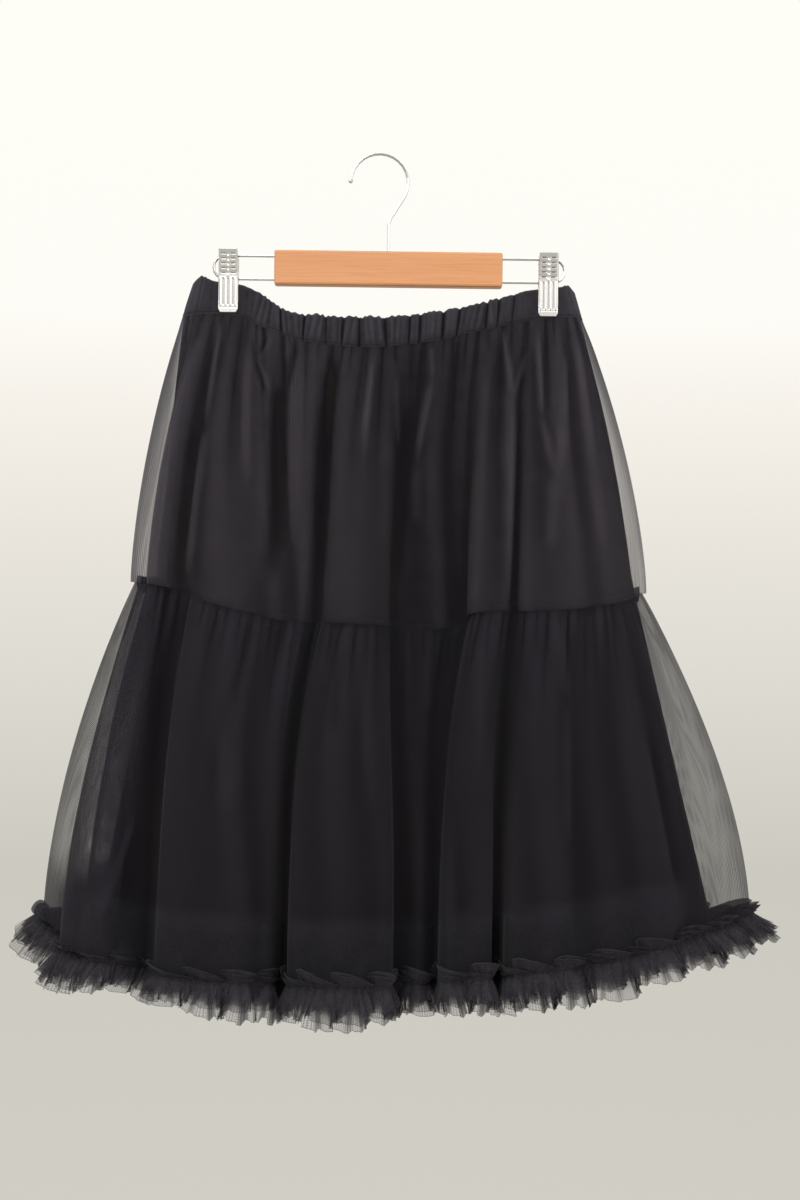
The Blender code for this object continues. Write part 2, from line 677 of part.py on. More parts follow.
def make_all():
    clear_scene()
    group = collection("ruffle_skirt_on_clip_hanger")
    cutters = collection("cutters")
    net = material("black_net", (0.022, 0.021, 0.026), 0.85)
    casing = material("black_casing_cloth", (0.030, 0.028, 0.033), 0.8)
    lining = material("black_lining_cloth", (0.018, 0.016, 0.018), 0.6)
    wood = material("varnished_wood", (0.76, 0.36, 0.14), 0.4)
    steel = material("bright_wire", (0.72, 0.72, 0.70), 0.18, 1.0)
    chrome = material("chromed_clip", (0.75, 0.75, 0.74), 0.12, 1.0)
    make_bar(group, cutters, wood)
    make_hook(group, cutters, steel)
    make_rail("hanger_wire_left", -1, RAIL_LEFT_END_X, group, steel)
    make_rail("hanger_wire_right", 1, RAIL_RIGHT_END_X, group, steel)
    make_clip("clip_left", CLIP_LEFT_X, group, cutters, chrome)
    make_clip("clip_right", CLIP_RIGHT_X, group, cutters, chrome)
    for side, folds in ((-1, FRONT_FOLDS), (1, BACK_FOLDS)):
        make_casing(side, folds, group, casing)
        make_lining(side, group, lining)
    hems = make_tiers(group, net)
    make_ruffle("front", FRONT_FOLDS, hems["front"], group, net)
    make_ruffle("back", BACK_FOLDS, hems["back"], group, net)


make_all()
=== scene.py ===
"""The looks of the ruffle skirt on its clip hanger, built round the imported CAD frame.

Lengths are in millimetres and become metres where points are made. The garment faces -Y.
The tables of folds repeat the named sizes of the part's source, at a finer resolution here.
"""

import math
from collections import namedtuple

import bmesh
import bpy
import numpy as np
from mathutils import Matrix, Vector


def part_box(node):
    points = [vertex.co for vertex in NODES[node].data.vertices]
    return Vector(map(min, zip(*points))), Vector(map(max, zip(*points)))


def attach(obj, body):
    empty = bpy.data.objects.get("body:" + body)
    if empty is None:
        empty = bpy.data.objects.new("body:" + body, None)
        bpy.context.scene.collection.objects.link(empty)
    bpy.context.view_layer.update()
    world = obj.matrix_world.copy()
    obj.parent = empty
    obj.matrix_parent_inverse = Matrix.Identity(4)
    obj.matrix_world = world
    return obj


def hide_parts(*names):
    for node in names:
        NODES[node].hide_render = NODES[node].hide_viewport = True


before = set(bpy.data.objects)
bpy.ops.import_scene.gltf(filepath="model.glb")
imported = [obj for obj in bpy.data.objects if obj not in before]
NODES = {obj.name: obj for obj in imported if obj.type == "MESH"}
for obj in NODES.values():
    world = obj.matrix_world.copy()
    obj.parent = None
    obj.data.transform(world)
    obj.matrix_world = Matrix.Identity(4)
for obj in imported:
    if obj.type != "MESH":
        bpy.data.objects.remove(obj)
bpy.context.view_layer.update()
ROOT = "root"
MM = 0.001

# Camera
CAMERA_PLACE = (0.0224, -1.5, -0.4087)
CAMERA_ROLL = 0.75
LONG_SIDE_SENSOR = 36.0
LENS = 48.91

# Pale room: its tone from low to high in the view, and the rise that it covers
WALL_REACH = 0.36
WALL_TONES = (
    (0, (209, 206, 198)), (0.28, (204, 201, 192)), (0.43, (220, 218, 209)), (0.534, (231, 227, 219)),
    (0.636, (243, 238, 230)), (0.735, (254, 252, 246)), (1, (254, 253, 246)),
)

# Casing
CASING_HALF_WALL = 1.5
CASING_TOP_ROUND = 0.1
CASING_PLEAT = (6.0, 26.0)
CASING_SCALLOP = (3.5, 8.0)
CASING_LIFT = 2.8
CASING_TOP_WAVE = 2.4
CASING_LEAN = 6.0
# Painted shade in the narrow folds between the casing's pleats
CASING_FOLD_SHADE = 0.55
CASING_STITCH_SHARE = 0.9
CASING_STITCH_PINCH = 0.55
CASING_STITCH_REACH = 0.06
CASING_STEP = 0.8
CASING_OUTER_ROWS = 15
CASING_INNER_ROWS = 10
CASING_PUFF_FLATNESS = 0.45
CASING_FOLD_WIDTH = 1.1
CASING_SMALL_LIFT = 0.6
CASING_EDGE_THINNING = 0.3
CASING_EDGE_CALM = 0.75
CASING_PLEAT_STRENGTH = (0.3, 1.5)
CASING_SCALLOP_STRENGTH = (0.2, 1.4)
CASING_INNER_START = 0.06
CASING_END_REACH = 0.5
CASING_PUFF_AT_EDGE = 0.55
CASING_PUFF_RISE = 0.45
CASING_TOP_MIDDLE = 0.6
CASING_TOP_SMALL_WAVE = 0.3
# Spreads and scales of the casing's painted shading
CASING_WIDE = (12, 2.5)
CASING_NARROW = (3, 0.9)
EDGE_GAP = 0.5
LAYER_STEP = 0.9
EDGE_SAMPLES = 40

# Net
UPPER_STEP = 1.1
LOWER_STEP = 1.4
UPPER_ROW_COUNT = 48
LOWER_ROW_COUNT = 60
UPPER_SWELL = (1.5, 1.6)
LOWER_SWELL = (1.6, 2.8)
LOBE_BULGE = 5.0
SWELL_CHANGE = (130.0, 185.0)
# Painted light and shade along the net's creases, and a narrow painted highlight on its sharpest ridges
CREASE_SHADING = 0.03
CREASE_EDGE_HIGHLIGHT = 0.085
CREASE_EDGE_WIDTH = 1.1
SHARPEST_CREASE = 3.5
TOP_TUCK_RISE = 2.0
TOP_TUCK_INWARD = 0.7
LINING_TUCK_OUTWARD = 0.5
SEAM_SHADE = 0.4
SEAM_SHADE_REACH = 5.0

# Band over the hem where the net reads as denser than its folds make it, so that the wall doesn't
# show between lining and ruffle: full up to the first height and gone above the second
HEM_BAND = (34.0, 66.0)
HEM_BAND_SHADE = 0.86
HEM_BAND_SHADE_RISE = 0.4
HEM_BAND_FULLNESS = 10.0
HEM_BAND_HALF_WIDTH = 262.0

# Gathers, lobes and threads of the net, and the spreads and depths of its painted shading
ROW_CROWDING = 1.25
REACH_CHANGE = 0.5
LATE_LENGTH = 25.0
WANDER_LENGTH = 60.0
# Width of the painted shade in the narrow folds between pleats
FOLD_SHADE_WIDTH = 1.2
PUFF_MIDDLE = 0.62
PUFF_FLATNESS = 0.75
SIDE_EDGE_DEPTH_SHARE = 0.2
FULLNESS_SPREAD = 8.0
FULLNESS_BLUR = 0.6
LEAST_RUN = 0.2
MOST_FULLNESS = 4.0
LOBE_STAND = 5.0
LOBE_SHADING_DEPTH = 7.0
WIDE_WEIGHT = 0.55
CREASE_SHADING_DEPTH = 1.3
GATHER_START = 0.35
GATHER_RISE = 8.0
STEEP_LIFT = 0.2
LOBE_SPREAD = 30.0
CREASE_SPREAD = 7.0
HEM_TURN = 4.0
NET_PITCH = 1.25
THREAD_SWING = 0.2
SIDE_FOLD_WIDTH = 1.2
UPPER_TUCK_SHIFT = {"tuck_inside": 4, "tuck_outside": 11}
# Painted shade over the recess right of the middle of the front net: its middle, half width and depth
SHADE_MIDDLE_X = 45.0
SHADE_HALF_WIDTH = 85.0
SHADE_DEPTH = 0.45

# Seam between the tiers, where the gathered edge is turned to the inside
SEAM_ROWS = ((6.0, 2.2), (4.5, 2.0), (2.0, 1.8), (-1.0, 1.6), (-5.0, 2.2), (-8.0, 2.6))
SEAM_WAVE = 0.8
# Painted shading of the turned edge, a tenth of the usual, which keeps it near the dark colour
SEAM_SHADING = 0.1
SEAM_PLEAT = (3.5, 7.0)
SEAM_FULLNESS = 2.2
SEAM_UNEVENNESS = 0.1
SEAM_THREAD_SPREAD = 2
SEAM_WIDE = (6, 2.0)
SEAM_NARROW = (3, 0.8)

# Hem ruffle
RUFFLE_HEADING = 16.0
RUFFLE_CUT_DROP = 36.0
RUFFLE_FLARE = 9.0
RUFFLE_SIDE_FLARE = 21.0
RUFFLE_HEADING_FLARE = 4.0
RUFFLE_STEP = 0.9
RUFFLE_FAN = 7.0
RUFFLE_HEADING_SHARE = 0.74
RUFFLE_HEADING_FLOP = 0.32
RUFFLE_DROP_SHARE = 0.8
RUFFLE_DROP_CHANGE = 0.12
RUFFLE_DROP_SLANT = 0.16
RUFFLE_HEADING_WAVE = 5.0
RUFFLE_DROP_WAVE = 6.5
RUFFLE_WAVE_RISE = 0.8
RUFFLE_FINE_FOLD = 0.6
RUFFLE_THREAD_SPREAD = 1.8
RUFFLE_EDGE_FOLD = 1.9
RUFFLE_PLEAT_STRENGTH = (0.3, 1.6)
RUFFLE_LINE_BLUR = 4
RUFFLE_SQUARE_BLUR = 5
RUFFLE_WIDE = (14, 5.0)
RUFFLE_NARROW = (3, 1.6)
OVAL_HALF_WIDTH = 325.0
OVAL_HALF_DEPTH = 150.0



def table(kind, *rows):
    """Rows of a table, each with the named columns of its kind."""
    return tuple(kind(*row) for row in rows)


CasingRow = namedtuple("CasingRow", "name top_x top_z bottom_x bottom_z depth crinkle")
CASING = table(
    CasingRow,
    ("left_fold", -170, -122, -180, -152, 1.65, 0.0),
    ("left_roll", -164, -114, -174, -150, 1.65, 0.4),
    ("left_clip_outside", -151, -118, -152, -148, 1.65, 0.0),
    ("left_clip_inside", -127, -121, -128, -150, 1.65, 0.0),
    ("left_drop", -97, -138, -100, -163, 8.0, 1.0),
    ("left_hollow", -71, -149, -72, -173, 12.0, 1.0),
    ("middle", -10, -152, -10, -179, 15.0, 1.0),
    ("right_hollow", 45, -147, 46, -173, 14.0, 1.0),
    ("right_rise", 96, -135, 96, -161, 8.0, 1.0),
    ("right_clip_inside", 142, -122, 142, -150, 1.65, 0.0),
    ("right_clip_outside", 167, -119, 168, -147, 1.65, 0.0),
    ("right_roll", 172, -118, 180, -147, 1.65, 0.4),
    ("right_fold", 178, -124, 186, -151, 1.65, 0.0),
)

# The folds of the net through both tiers, at the casing, the tier seam and the hem. The rows
# named tuck are the doubled folds at the left edge, where several layers of net lie together.
Fold = namedtuple("Fold", "name waist_x seam_x seam_depth seam_z hem_x hem_depth hem_z")
FRONT_FOLDS = table(
    Fold,
    ("left_seam", -181, -221, 0.3, -395, -297, 0.3, -700),
    ("left_roll", -178, -214, 8, -396, -279, 20, -718),
    ("tuck_inside", -172, -194, 11, -397, -226, 36, -726),
    ("tuck_outside", -168, -215, 14, -397, -272, 46, -726),
    ("side_lobe", -161, -203, 22, -397, -237, 66, -733),
    ("valley_1", -149, -180, 18, -402, -199, 44, -743),
    ("lobe_2_left", -138, -160, 32, -408, -183, 74, -741),
    ("lobe_2", -120, -120, 44, -420, -133, 94, -743),
    ("lobe_2_right", -98, -84, 38, -428, -97, 82, -747),
    ("lobe_2_fold", -67, -67, 40, -430, -87, 74, -749),
    ("valley_2", -41, -53, 29, -430, -76, 52, -753),
    ("lobe_3_left", -28, -43, 42, -429, -64, 88, -748),
    ("lobe_3", -10, -18, 54, -430, -28, 104, -745),
    ("lobe_3_right", 8, 6, 44, -432, 11, 92, -747),
    ("recess_left", 21, 19, 30, -434, 23, 58, -751),
    ("recess", 50, 45, 33, -436, 42, 62, -751),
    ("valley_3", 88, 80, 28, -428, 58, 52, -750),
    ("lobe_4_left", 101, 92, 46, -419, 70, 88, -742),
    ("lobe_4_right", 120, 114, 44, -417, 98, 84, -740),
    ("valley_4", 130, 125, 31, -418, 111, 60, -743),
    ("lobe_5_left", 140, 136, 44, -417, 125, 86, -737),
    ("lobe_5", 156, 161, 48, -416, 155, 92, -731),
    ("lobe_5_right", 167, 187, 40, -413, 191, 80, -728),
    ("lobe_6", 176, 208, 34, -410, 236, 74, -718),
    ("right_roll", 183, 237, 10, -402, 318, 26, -700),
    ("right_seam", 187, 244, 0.3, -399, 342, 0.3, -694),
)
BACK_FOLDS = table(
    Fold,
    ("right_seam", 187, 244, 0.3, -399, 342, 0.3, -694),
    ("right_roll", 183, 238, 9, -401, 322, 18, -701),
    ("right_side_lobe", 172, 222, 19, -405, 284, 40, -711),
    ("valley_1", 156, 198, 14, -410, 246, 28, -721),
    ("lobe_1", 134, 170, 27, -414, 206, 46, -728),
    ("valley_2", 114, 142, 18, -418, 170, 30, -735),
    ("lobe_2_right", 100, 124, 28, -420, 150, 45, -738),
    ("lobe_2_left", 74, 88, 28, -422, 100, 46, -741),
    ("valley_3", 56, 66, 18, -424, 76, 29, -745),
    ("lobe_3_right", 44, 50, 28, -425, 56, 46, -744),
    ("lobe_3_left", 14, 12, 28, -427, 6, 47, -746),
    ("valley_4", -6, -10, 18, -428, -18, 28, -748),
    ("lobe_4_right", -20, -26, 27, -427, -38, 46, -745),
    ("lobe_4_left", -52, -66, 28, -424, -90, 47, -743),
    ("valley_5", -72, -88, 18, -420, -114, 29, -742),
    ("lobe_5", -100, -122, 27, -414, -156, 46, -737),
    ("valley_6", -128, -158, 16, -406, -200, 28, -730),
    ("left_side_lobe", -152, -188, 20, -400, -242, 42, -722),
    ("tuck_outside", -163, -211, 14, -397, -266, 30, -720),
    ("tuck_inside", -170, -190, 11, -397, -222, 24, -718),
    ("left_roll", -177, -214, 7, -396, -280, 15, -711),
    ("left_seam", -181, -221, 0.3, -395, -297, 0.3, -700),
)

Flute = namedtuple("Flute", "name waist_x middle_x middle_depth hem_x hem_depth")
LINING_MIDDLE_Z = -390.0
LINING_HEM_SIDE_Z = -694.0
LINING_HEM_CENTRE_Z = -736.0
BACK_LINING_SHARE = 0.6
LINING_ROW_COUNT = 40
LINING_HIP = 5.0
HIP_HALF_WIDTH = 200.0
LINING_STEP = 5.0
LINING_FLUTES = table(
    Flute,
    ("left_seam", -180, -194, 0.5, -250, 0.5),
    ("left_turn", -175, -182, 8, -230, 17),
    ("ridge_1", -140, -142, 13, -172, 33),
    ("hollow_1", -95, -96, 13, -122, 27),
    ("ridge_2", -45, -45, 17, -60, 38),
    ("hollow_2", 5, 5, 15, 4, 31),
    ("ridge_3", 55, 60, 17, 70, 38),
    ("hollow_3", 100, 114, 14, 140, 28),
    ("ridge_4", 142, 166, 13, 208, 34),
    ("right_turn", 181, 221, 8, 288, 18),
    ("right_seam", 185, 236, 0.5, 311, 0.5),
)

# Creases: a line in the front view from its upper to its lower end, how far it stands out
# (below 0 it is a hollow) and half its width.
Crease = namedtuple("Crease", "x1 z1 x2 z2 depth width")
UPPER_FRONT_CREASES = table(
    Crease,
    (-145, -154, -156, -253, 4, 3),
    (-156, -253, -169, -396, 5, 4),
    (-100, -170, -112, -191, -2, 2.4),
    (-117, -174, -112, -191, -1.5, 2.2),
    (-112, -191, -102, -222, -2.2, 2.6),
    (-97, -170, -108, -192, 1.6, 2.2),
    (-108, -192, -98, -222, 1.6, 2.2),
    (-75, -174, -81, -219, -3, 3.5),
    (-120, -172, -116, -310, 3, 6),
    (-90, -214, -93, -395, -5, 8),
    (-72, -190, -72, -368, 4, 7),
    (-42, -190, -45, -394, -6, 6),
    (-5, -189, -12, -266, 2.5, 2),
    (48, -178, 49, -208, 3, 3),
    (49, -208, 35, -287, 4, 3.5),
    (35, -287, 36, -341, 3, 5),
    (29, -234, 15, -393, -6, 7),
    (-3, -186, -13, -288, 1.2, 3),
    (15, -194, 19, -273, 2, 3),
    (113, -159, 122, -222, 3, 3),
    (122, -222, 119, -411, 3.5, 3.5),
    (133, -187, 122, -225, 2.5, 3),
    (145, -161, 149, -243, 3, 3),
    (149, -243, 160, -291, 3, 3.5),
    (170, -179, 168, -248, 2.5, 3),
    (168, -248, 163, -296, 2.5, 3.5),
    (161, -295, 156, -365, 3, 6),
    (181, -170, 195, -291, 3, 3),
    (195, -291, 204, -365, 2.5, 4),
)
UPPER_BACK_CREASES = table(
    Crease,
    (-140, -160, -150, -330, 3, 4),
    (-112, -178, -96, -232, -2.5, 3),
    (-60, -188, -66, -300, 3, 3.5),
    (-8, -190, 0, -270, -3, 4),
    (32, -186, 38, -330, 3, 4),
    (70, -180, 84, -360, -3, 6),
    (110, -165, 116, -250, 3, 3),
    (140, -165, 156, -300, 3, 3.5),
    (168, -170, 176, -260, -2.5, 3.5),
)
LOWER_FRONT_CREASES = table(
    Crease,
    (-110, -429, -134, -539, -3, 7),
    (-134, -539, -139, -589, -2.5, 6),
    (-118, -551, -124, -595, 3.5, 6),
    (-28, -453, -34, -531, -5, 6),
    (-10, -434, -1, -593, 4, 6),
    (96, -432, 91, -561, 3, 4),
    (162, -428, 169, -497, 4, 5),
    (169, -497, 169, -622, 3, 5),
    (244, -521, 271, -668, -4, 6),
    (-210, -600, -240, -700, 3, 3),
)
LOWER_BACK_CREASES = table(
    Crease,
    (-130, -430, -150, -560, -4, 6),
    (-60, -440, -72, -580, 4, 6),
    (-30, -450, -34, -520, -4, 5),
    (22, -440, 26, -600, 3.5, 6),
    (100, -436, 118, -560, -4, 6),
    (160, -430, 180, -540, 4, 5),
    (214, -430, 250, -620, -4, 7),
)


def column(rows, name):
    return np.array([getattr(row, name) for row in rows], dtype=float)


def smooth(values, places):
    """A curve through the values at 0, 1, 2 ... that never swings past them, read at places."""
    steps = np.diff(values)
    slopes = np.empty(len(values))
    slopes[0], slopes[-1] = steps[0], steps[-1]
    product = steps[:-1] * steps[1:]
    total = steps[:-1] + steps[1:]
    turning = product <= 0
    slopes[1:-1] = np.where(turning, 0.0, 2 * product / np.where(turning, 1.0, total))
    low = np.clip(np.floor(places).astype(int), 0, len(values) - 2)
    part = places - low
    return (
        values[low] * (1 + 2 * part) * (1 - part) ** 2
        + slopes[low] * part * (1 - part) ** 2
        + values[low + 1] * part**2 * (3 - 2 * part)
        + slopes[low + 1] * part**2 * (part - 1)
    )


def sheer_ends(values, places):
    """Like smooth, but level at both ends, so that the two halves of a ring meet squarely."""
    mirrored = np.concatenate([values[1:2], values, values[-2:-1]])
    return smooth(mirrored, places + 1)


def ease_ends(rows, places):
    """1 along a row, falling to 0 over its first and last gap."""
    return np.clip(np.minimum(places, len(rows) - 1 - places), 0, 1)


def casing_edge(edge, places):
    return sheer_ends(column(CASING, edge + "_x"), places), smooth(column(CASING, edge + "_z"), places)


def under_casing(x):
    """Depth and height of the casing's lower edge at x."""
    places = np.linspace(0, len(CASING) - 1, EDGE_SAMPLES * (len(CASING) - 1) + 1)
    edge_x, edge_z = casing_edge("bottom", places)
    depth = smooth(column(CASING, "depth"), places)
    return np.interp(x, edge_x, depth), np.interp(x, edge_x, edge_z)


def fold_line(folds, level, places):
    """x, depth and height of the net at one named level of its folds."""
    across = column(folds, level + "_x")
    x = sheer_ends(across, places)
    if level == "waist":
        depth, z = under_casing(x)
        return x, (depth + LAYER_STEP) * ease_ends(folds, places), z - EDGE_GAP
    depth = smooth(column(folds, level + "_depth"), places)
    return x, depth, smooth(column(folds, level + "_z"), places)


def even_places(rows, lines, step):
    """Places spaced evenly by length, on average over some lines of the same rows."""
    dense = np.linspace(0, len(rows) - 1, EDGE_SAMPLES * (len(rows) - 1) + 1)
    length = np.zeros(len(dense))
    for x, depth, _ in (line(dense) for line in lines):
        run = np.hypot(np.diff(x), np.diff(depth))
        length[1:] += np.cumsum(run) / len(lines)
    count = max(8, round(length[-1] / step))
    return np.interp(np.linspace(0, length[-1], count + 1), length, dense)


class Ring:
    """The columns of a tube of cloth: front from left to right, then back from right to left."""

    def __init__(self, front_rows, back_rows, line, levels, step):
        self.halves = []
        for rows in (front_rows, back_rows):
            lines = [lambda places, rows=rows, level=level: line(rows, level, places) for level in levels]
            self.halves.append((rows, even_places(rows, lines, step)[:-1]))
        self.line = line
        self.front_count = len(self.halves[0][1])
        self.count = self.front_count + len(self.halves[1][1])
        self.is_front = np.arange(self.count) < self.front_count

    def level(self, name):
        """(x, y, z) of every column at a named level."""
        parts = []
        for side, (rows, places) in zip((-1, 1), self.halves):
            x, depth, z = self.line(rows, name, places)
            y = side * depth
            y[0] = 0.0
            parts.append((x, y, z))
        return [np.concatenate(pair) for pair in zip(*parts)]


def outward(x, y, spread=0):
    """Unit steps in plan, square to a closed line that runs counterclockwise and is smoothed first."""
    if spread:
        x, y = blurred(x, spread), blurred(y, spread)
    run_x = np.roll(x, -1) - np.roll(x, 1)
    run_y = np.roll(y, -1) - np.roll(y, 1)
    length = np.maximum(np.hypot(run_x, run_y), 1e-6)
    return run_y / length, -run_x / length


def step_between(value, low, high):
    share = np.clip((value - low) / (high - low), 0, 1)
    return share * share * (3 - 2 * share)


def ring_length(x, y):
    """Length along a closed line up to each of its points, and its whole length."""
    steps = np.hypot(np.roll(x, -1) - x, np.roll(y, -1) - y)
    return np.concatenate([[0], np.cumsum(steps)[:-1]]), steps.sum()


def read_round(spots, along, total, values):
    """Values along a closed line, read at some lengths."""
    return np.interp(spots, np.append(along, total), np.append(values, values[0]))


def blurred(values, spread):
    """A closed row of values, smoothed over some columns."""
    count = values.shape[-1]
    turns = np.fft.rfftfreq(count)
    keep = np.exp(-2 * (math.pi * spread * turns) ** 2)
    return np.fft.irfft(np.fft.rfft(values, axis=-1) * keep, n=count, axis=-1)


class Pleats:
    """Uneven pleats round a closed line: where each begins, and how strong it is."""

    def __init__(self, length, widths, seed, strength=(0.6, 1.3)):
        draw = np.random.default_rng(seed)
        count = round(length / ((widths[0] + widths[1]) / 2))
        ends = np.concatenate([[0.0], np.cumsum(draw.uniform(*widths, count))])
        self.ends = ends * length / ends[-1]
        self.count = count
        self.strengths = draw.uniform(*strength, count)
        self.seconds = draw.uniform(-1, 1, count)

    def turn(self, along):
        return np.interp(np.mod(along, self.ends[-1]), self.ends, np.arange(self.count + 1))

    def fold_gap(self, along):
        """Length from each place to the nearest fold between two pleats."""
        place = np.mod(along, self.ends[-1])
        after = np.clip(np.searchsorted(self.ends, place), 1, self.count)
        return np.minimum(place - self.ends[after - 1], self.ends[after] - place)

    def read(self, along):
        """(phase, strength, a second draw from -1 to 1) at some lengths along the line."""
        turn = self.turn(along)
        middles = np.arange(self.count) + 0.5
        strength = np.interp(turn, middles, self.strengths, period=self.count)
        second = np.interp(turn, middles, self.seconds, period=self.count)
        return 2 * math.pi * turn, strength, second


def puff(phase):
    """A round puff between narrow hollows, from 0 to 1."""
    return np.abs(np.sin(phase / 2)) ** PUFF_FLATNESS


def near_lines(points, lines):
    """The sum of the depths of some lines in the front view, each fading over its width and ends."""
    x, z = points[..., 0], points[..., 2]
    total = np.zeros_like(x)
    for line in lines:
        run_x, run_z = line.x2 - line.x1, line.z2 - line.z1
        share = ((x - line.x1) * run_x + (z - line.z1) * run_z) / (run_x**2 + run_z**2)
        held = np.clip(share, 0, 1)
        apart = np.hypot(x - line.x1 - held * run_x, z - line.z1 - held * run_z)
        fade = 1 - np.abs(2 * held - 1) ** 4
        total += line.depth * np.exp(-((apart / line.width) ** 2)) * fade
    return total


def sharp_ridges(creases):
    """The narrow ridges among some creases, as lines of their edge alone, for a painted highlight along each.
    """
    return [
        crease._replace(width=CREASE_EDGE_WIDTH)
        for crease in creases
        if crease.depth > 0 and crease.width <= SHARPEST_CREASE
    ]


def add_creases(points, is_front, creases, side):
    """Moves a grid of points in or out along each crease, on one side of the garment."""
    here = is_front if side < 0 else ~is_front
    points[:, here, 1] += side * near_lines(points[:, here], creases)


def fullness_of(points, spread):
    """How many times its own run each row of the cloth is long, against its line smoothed."""
    x, y = points[:, :, 0], points[:, :, 1]
    run = np.hypot(np.roll(x, -1, 1) - x, np.roll(y, -1, 1) - y)
    soft_x, soft_y = blurred(x, spread), blurred(y, spread)
    soft_run = np.hypot(np.roll(soft_x, -1, 1) - soft_x, np.roll(soft_y, -1, 1) - soft_y)
    return np.clip(blurred(run / np.maximum(soft_run, LEAST_RUN), FULLNESS_BLUR), 1.0, MOST_FULLNESS)


def tone_of(points, wide, narrow):
    """How far each point stands out from its surroundings: 0 in a hollow, 1 on a ridge. As a colour value it
    is painted shading, darker in hollows and lighter on ridges.
    """
    x, y = points[:, :, 0], points[:, :, 1]
    total = np.zeros_like(x)
    for (spread, scale), weight in ((wide, WIDE_WEIGHT), (narrow, 1 - WIDE_WEIGHT)):
        soft_x, soft_y = blurred(x, spread), blurred(y, spread)
        run_x = np.roll(soft_x, -1, 1) - np.roll(soft_x, 1, 1)
        run_y = np.roll(soft_y, -1, 1) - np.roll(soft_y, 1, 1)
        length = np.maximum(np.hypot(run_x, run_y), 1e-6)
        out = ((x - soft_x) * run_y - (y - soft_y) * run_x) / length
        total += weight * np.tanh(out / scale)
    return 0.5 + 0.5 * total


def add_piece(name, mesh, finish):
    mesh.shade_smooth()
    piece = bpy.data.objects.new(name, mesh)
    bpy.context.scene.collection.objects.link(piece)
    piece.data.materials.append(finish)
    return piece


def cloth_place(across, down, gathered):
    """Each point's place on the flat net, for its threads, and how many times it is gathered."""
    return np.stack(np.broadcast_arrays(across, down, gathered), -1)


def cloth_mesh(name, points, values, finish):
    """A closed thin sheet through a grid of points (rows, columns, xyz), with named values a point."""
    rows, columns = points.shape[:2]
    mesh = bpy.data.meshes.new(name)
    index = np.arange(rows * columns).reshape(rows, columns)
    after = np.roll(index, -1, 1)
    faces = np.stack([index[:-1], index[1:], after[1:], after[:-1]], -1).reshape(-1, 4)
    mesh.from_pydata((points * MM).reshape(-1, 3).tolist(), [], faces.tolist())
    for title, value in values.items():
        flat = np.ascontiguousarray(value, dtype=np.float32).reshape(rows * columns, -1)
        if flat.shape[1] == 3:
            mesh.attributes.new(title, "FLOAT_VECTOR", "POINT").data.foreach_set("vector", flat.ravel())
        else:
            mesh.attributes.new(title, "FLOAT", "POINT").data.foreach_set("value", flat.ravel())
    return add_piece(name, mesh, finish)


def linear(red, green, blue):
    """A display colour from 0 to 255 as the renderer's linear one."""
    parts = []
    for part in (red, green, blue):
        share = part / 255
        parts.append(share / 12.92 if share <= 0.04045 else ((share + 0.055) / 1.055) ** 2.4)
    return (*parts, 1.0)


Speck = namedtuple("Speck", "scale detail depth")
NET_CLOUDS = Speck(22.0, 2.0, 0.10)
NET_MOTTLE = Speck(55.0, 3.0, 0.4)
NET_GRAIN = Speck(650.0, 1.0, 0.7)
CASING_MOTTLE = Speck(160.0, 3.0, 0.4)
EDGE_COVER = 0.8
MIX_INPUTS = (0, 6, 7)
MIX_OUTPUT = 2
LINING_WEAVE = (2600.0, 2600.0, 900.0)
WOOD_GRAIN = (3.0, 60.0, 60.0)
WOOD_PORES = (25.0, 900.0, 900.0)
# Painted shade in the clip's pressed grooves and on its inner side
GROOVE_SHADE_COLOUR = (0.10, 0.09, 0.085, 1)
WORN_SHARE = 0.82
LINING_CLOUDS = 9.0
CASING_WEAVE = 2200.0
STREAK_GAIN = 1.6
STREAK_START = -0.75
METAL_BRUSHING = 900.0
METAL_ROUGHNESS_SWING = 0.12
METAL_WEAR = (60.0, 3.0)


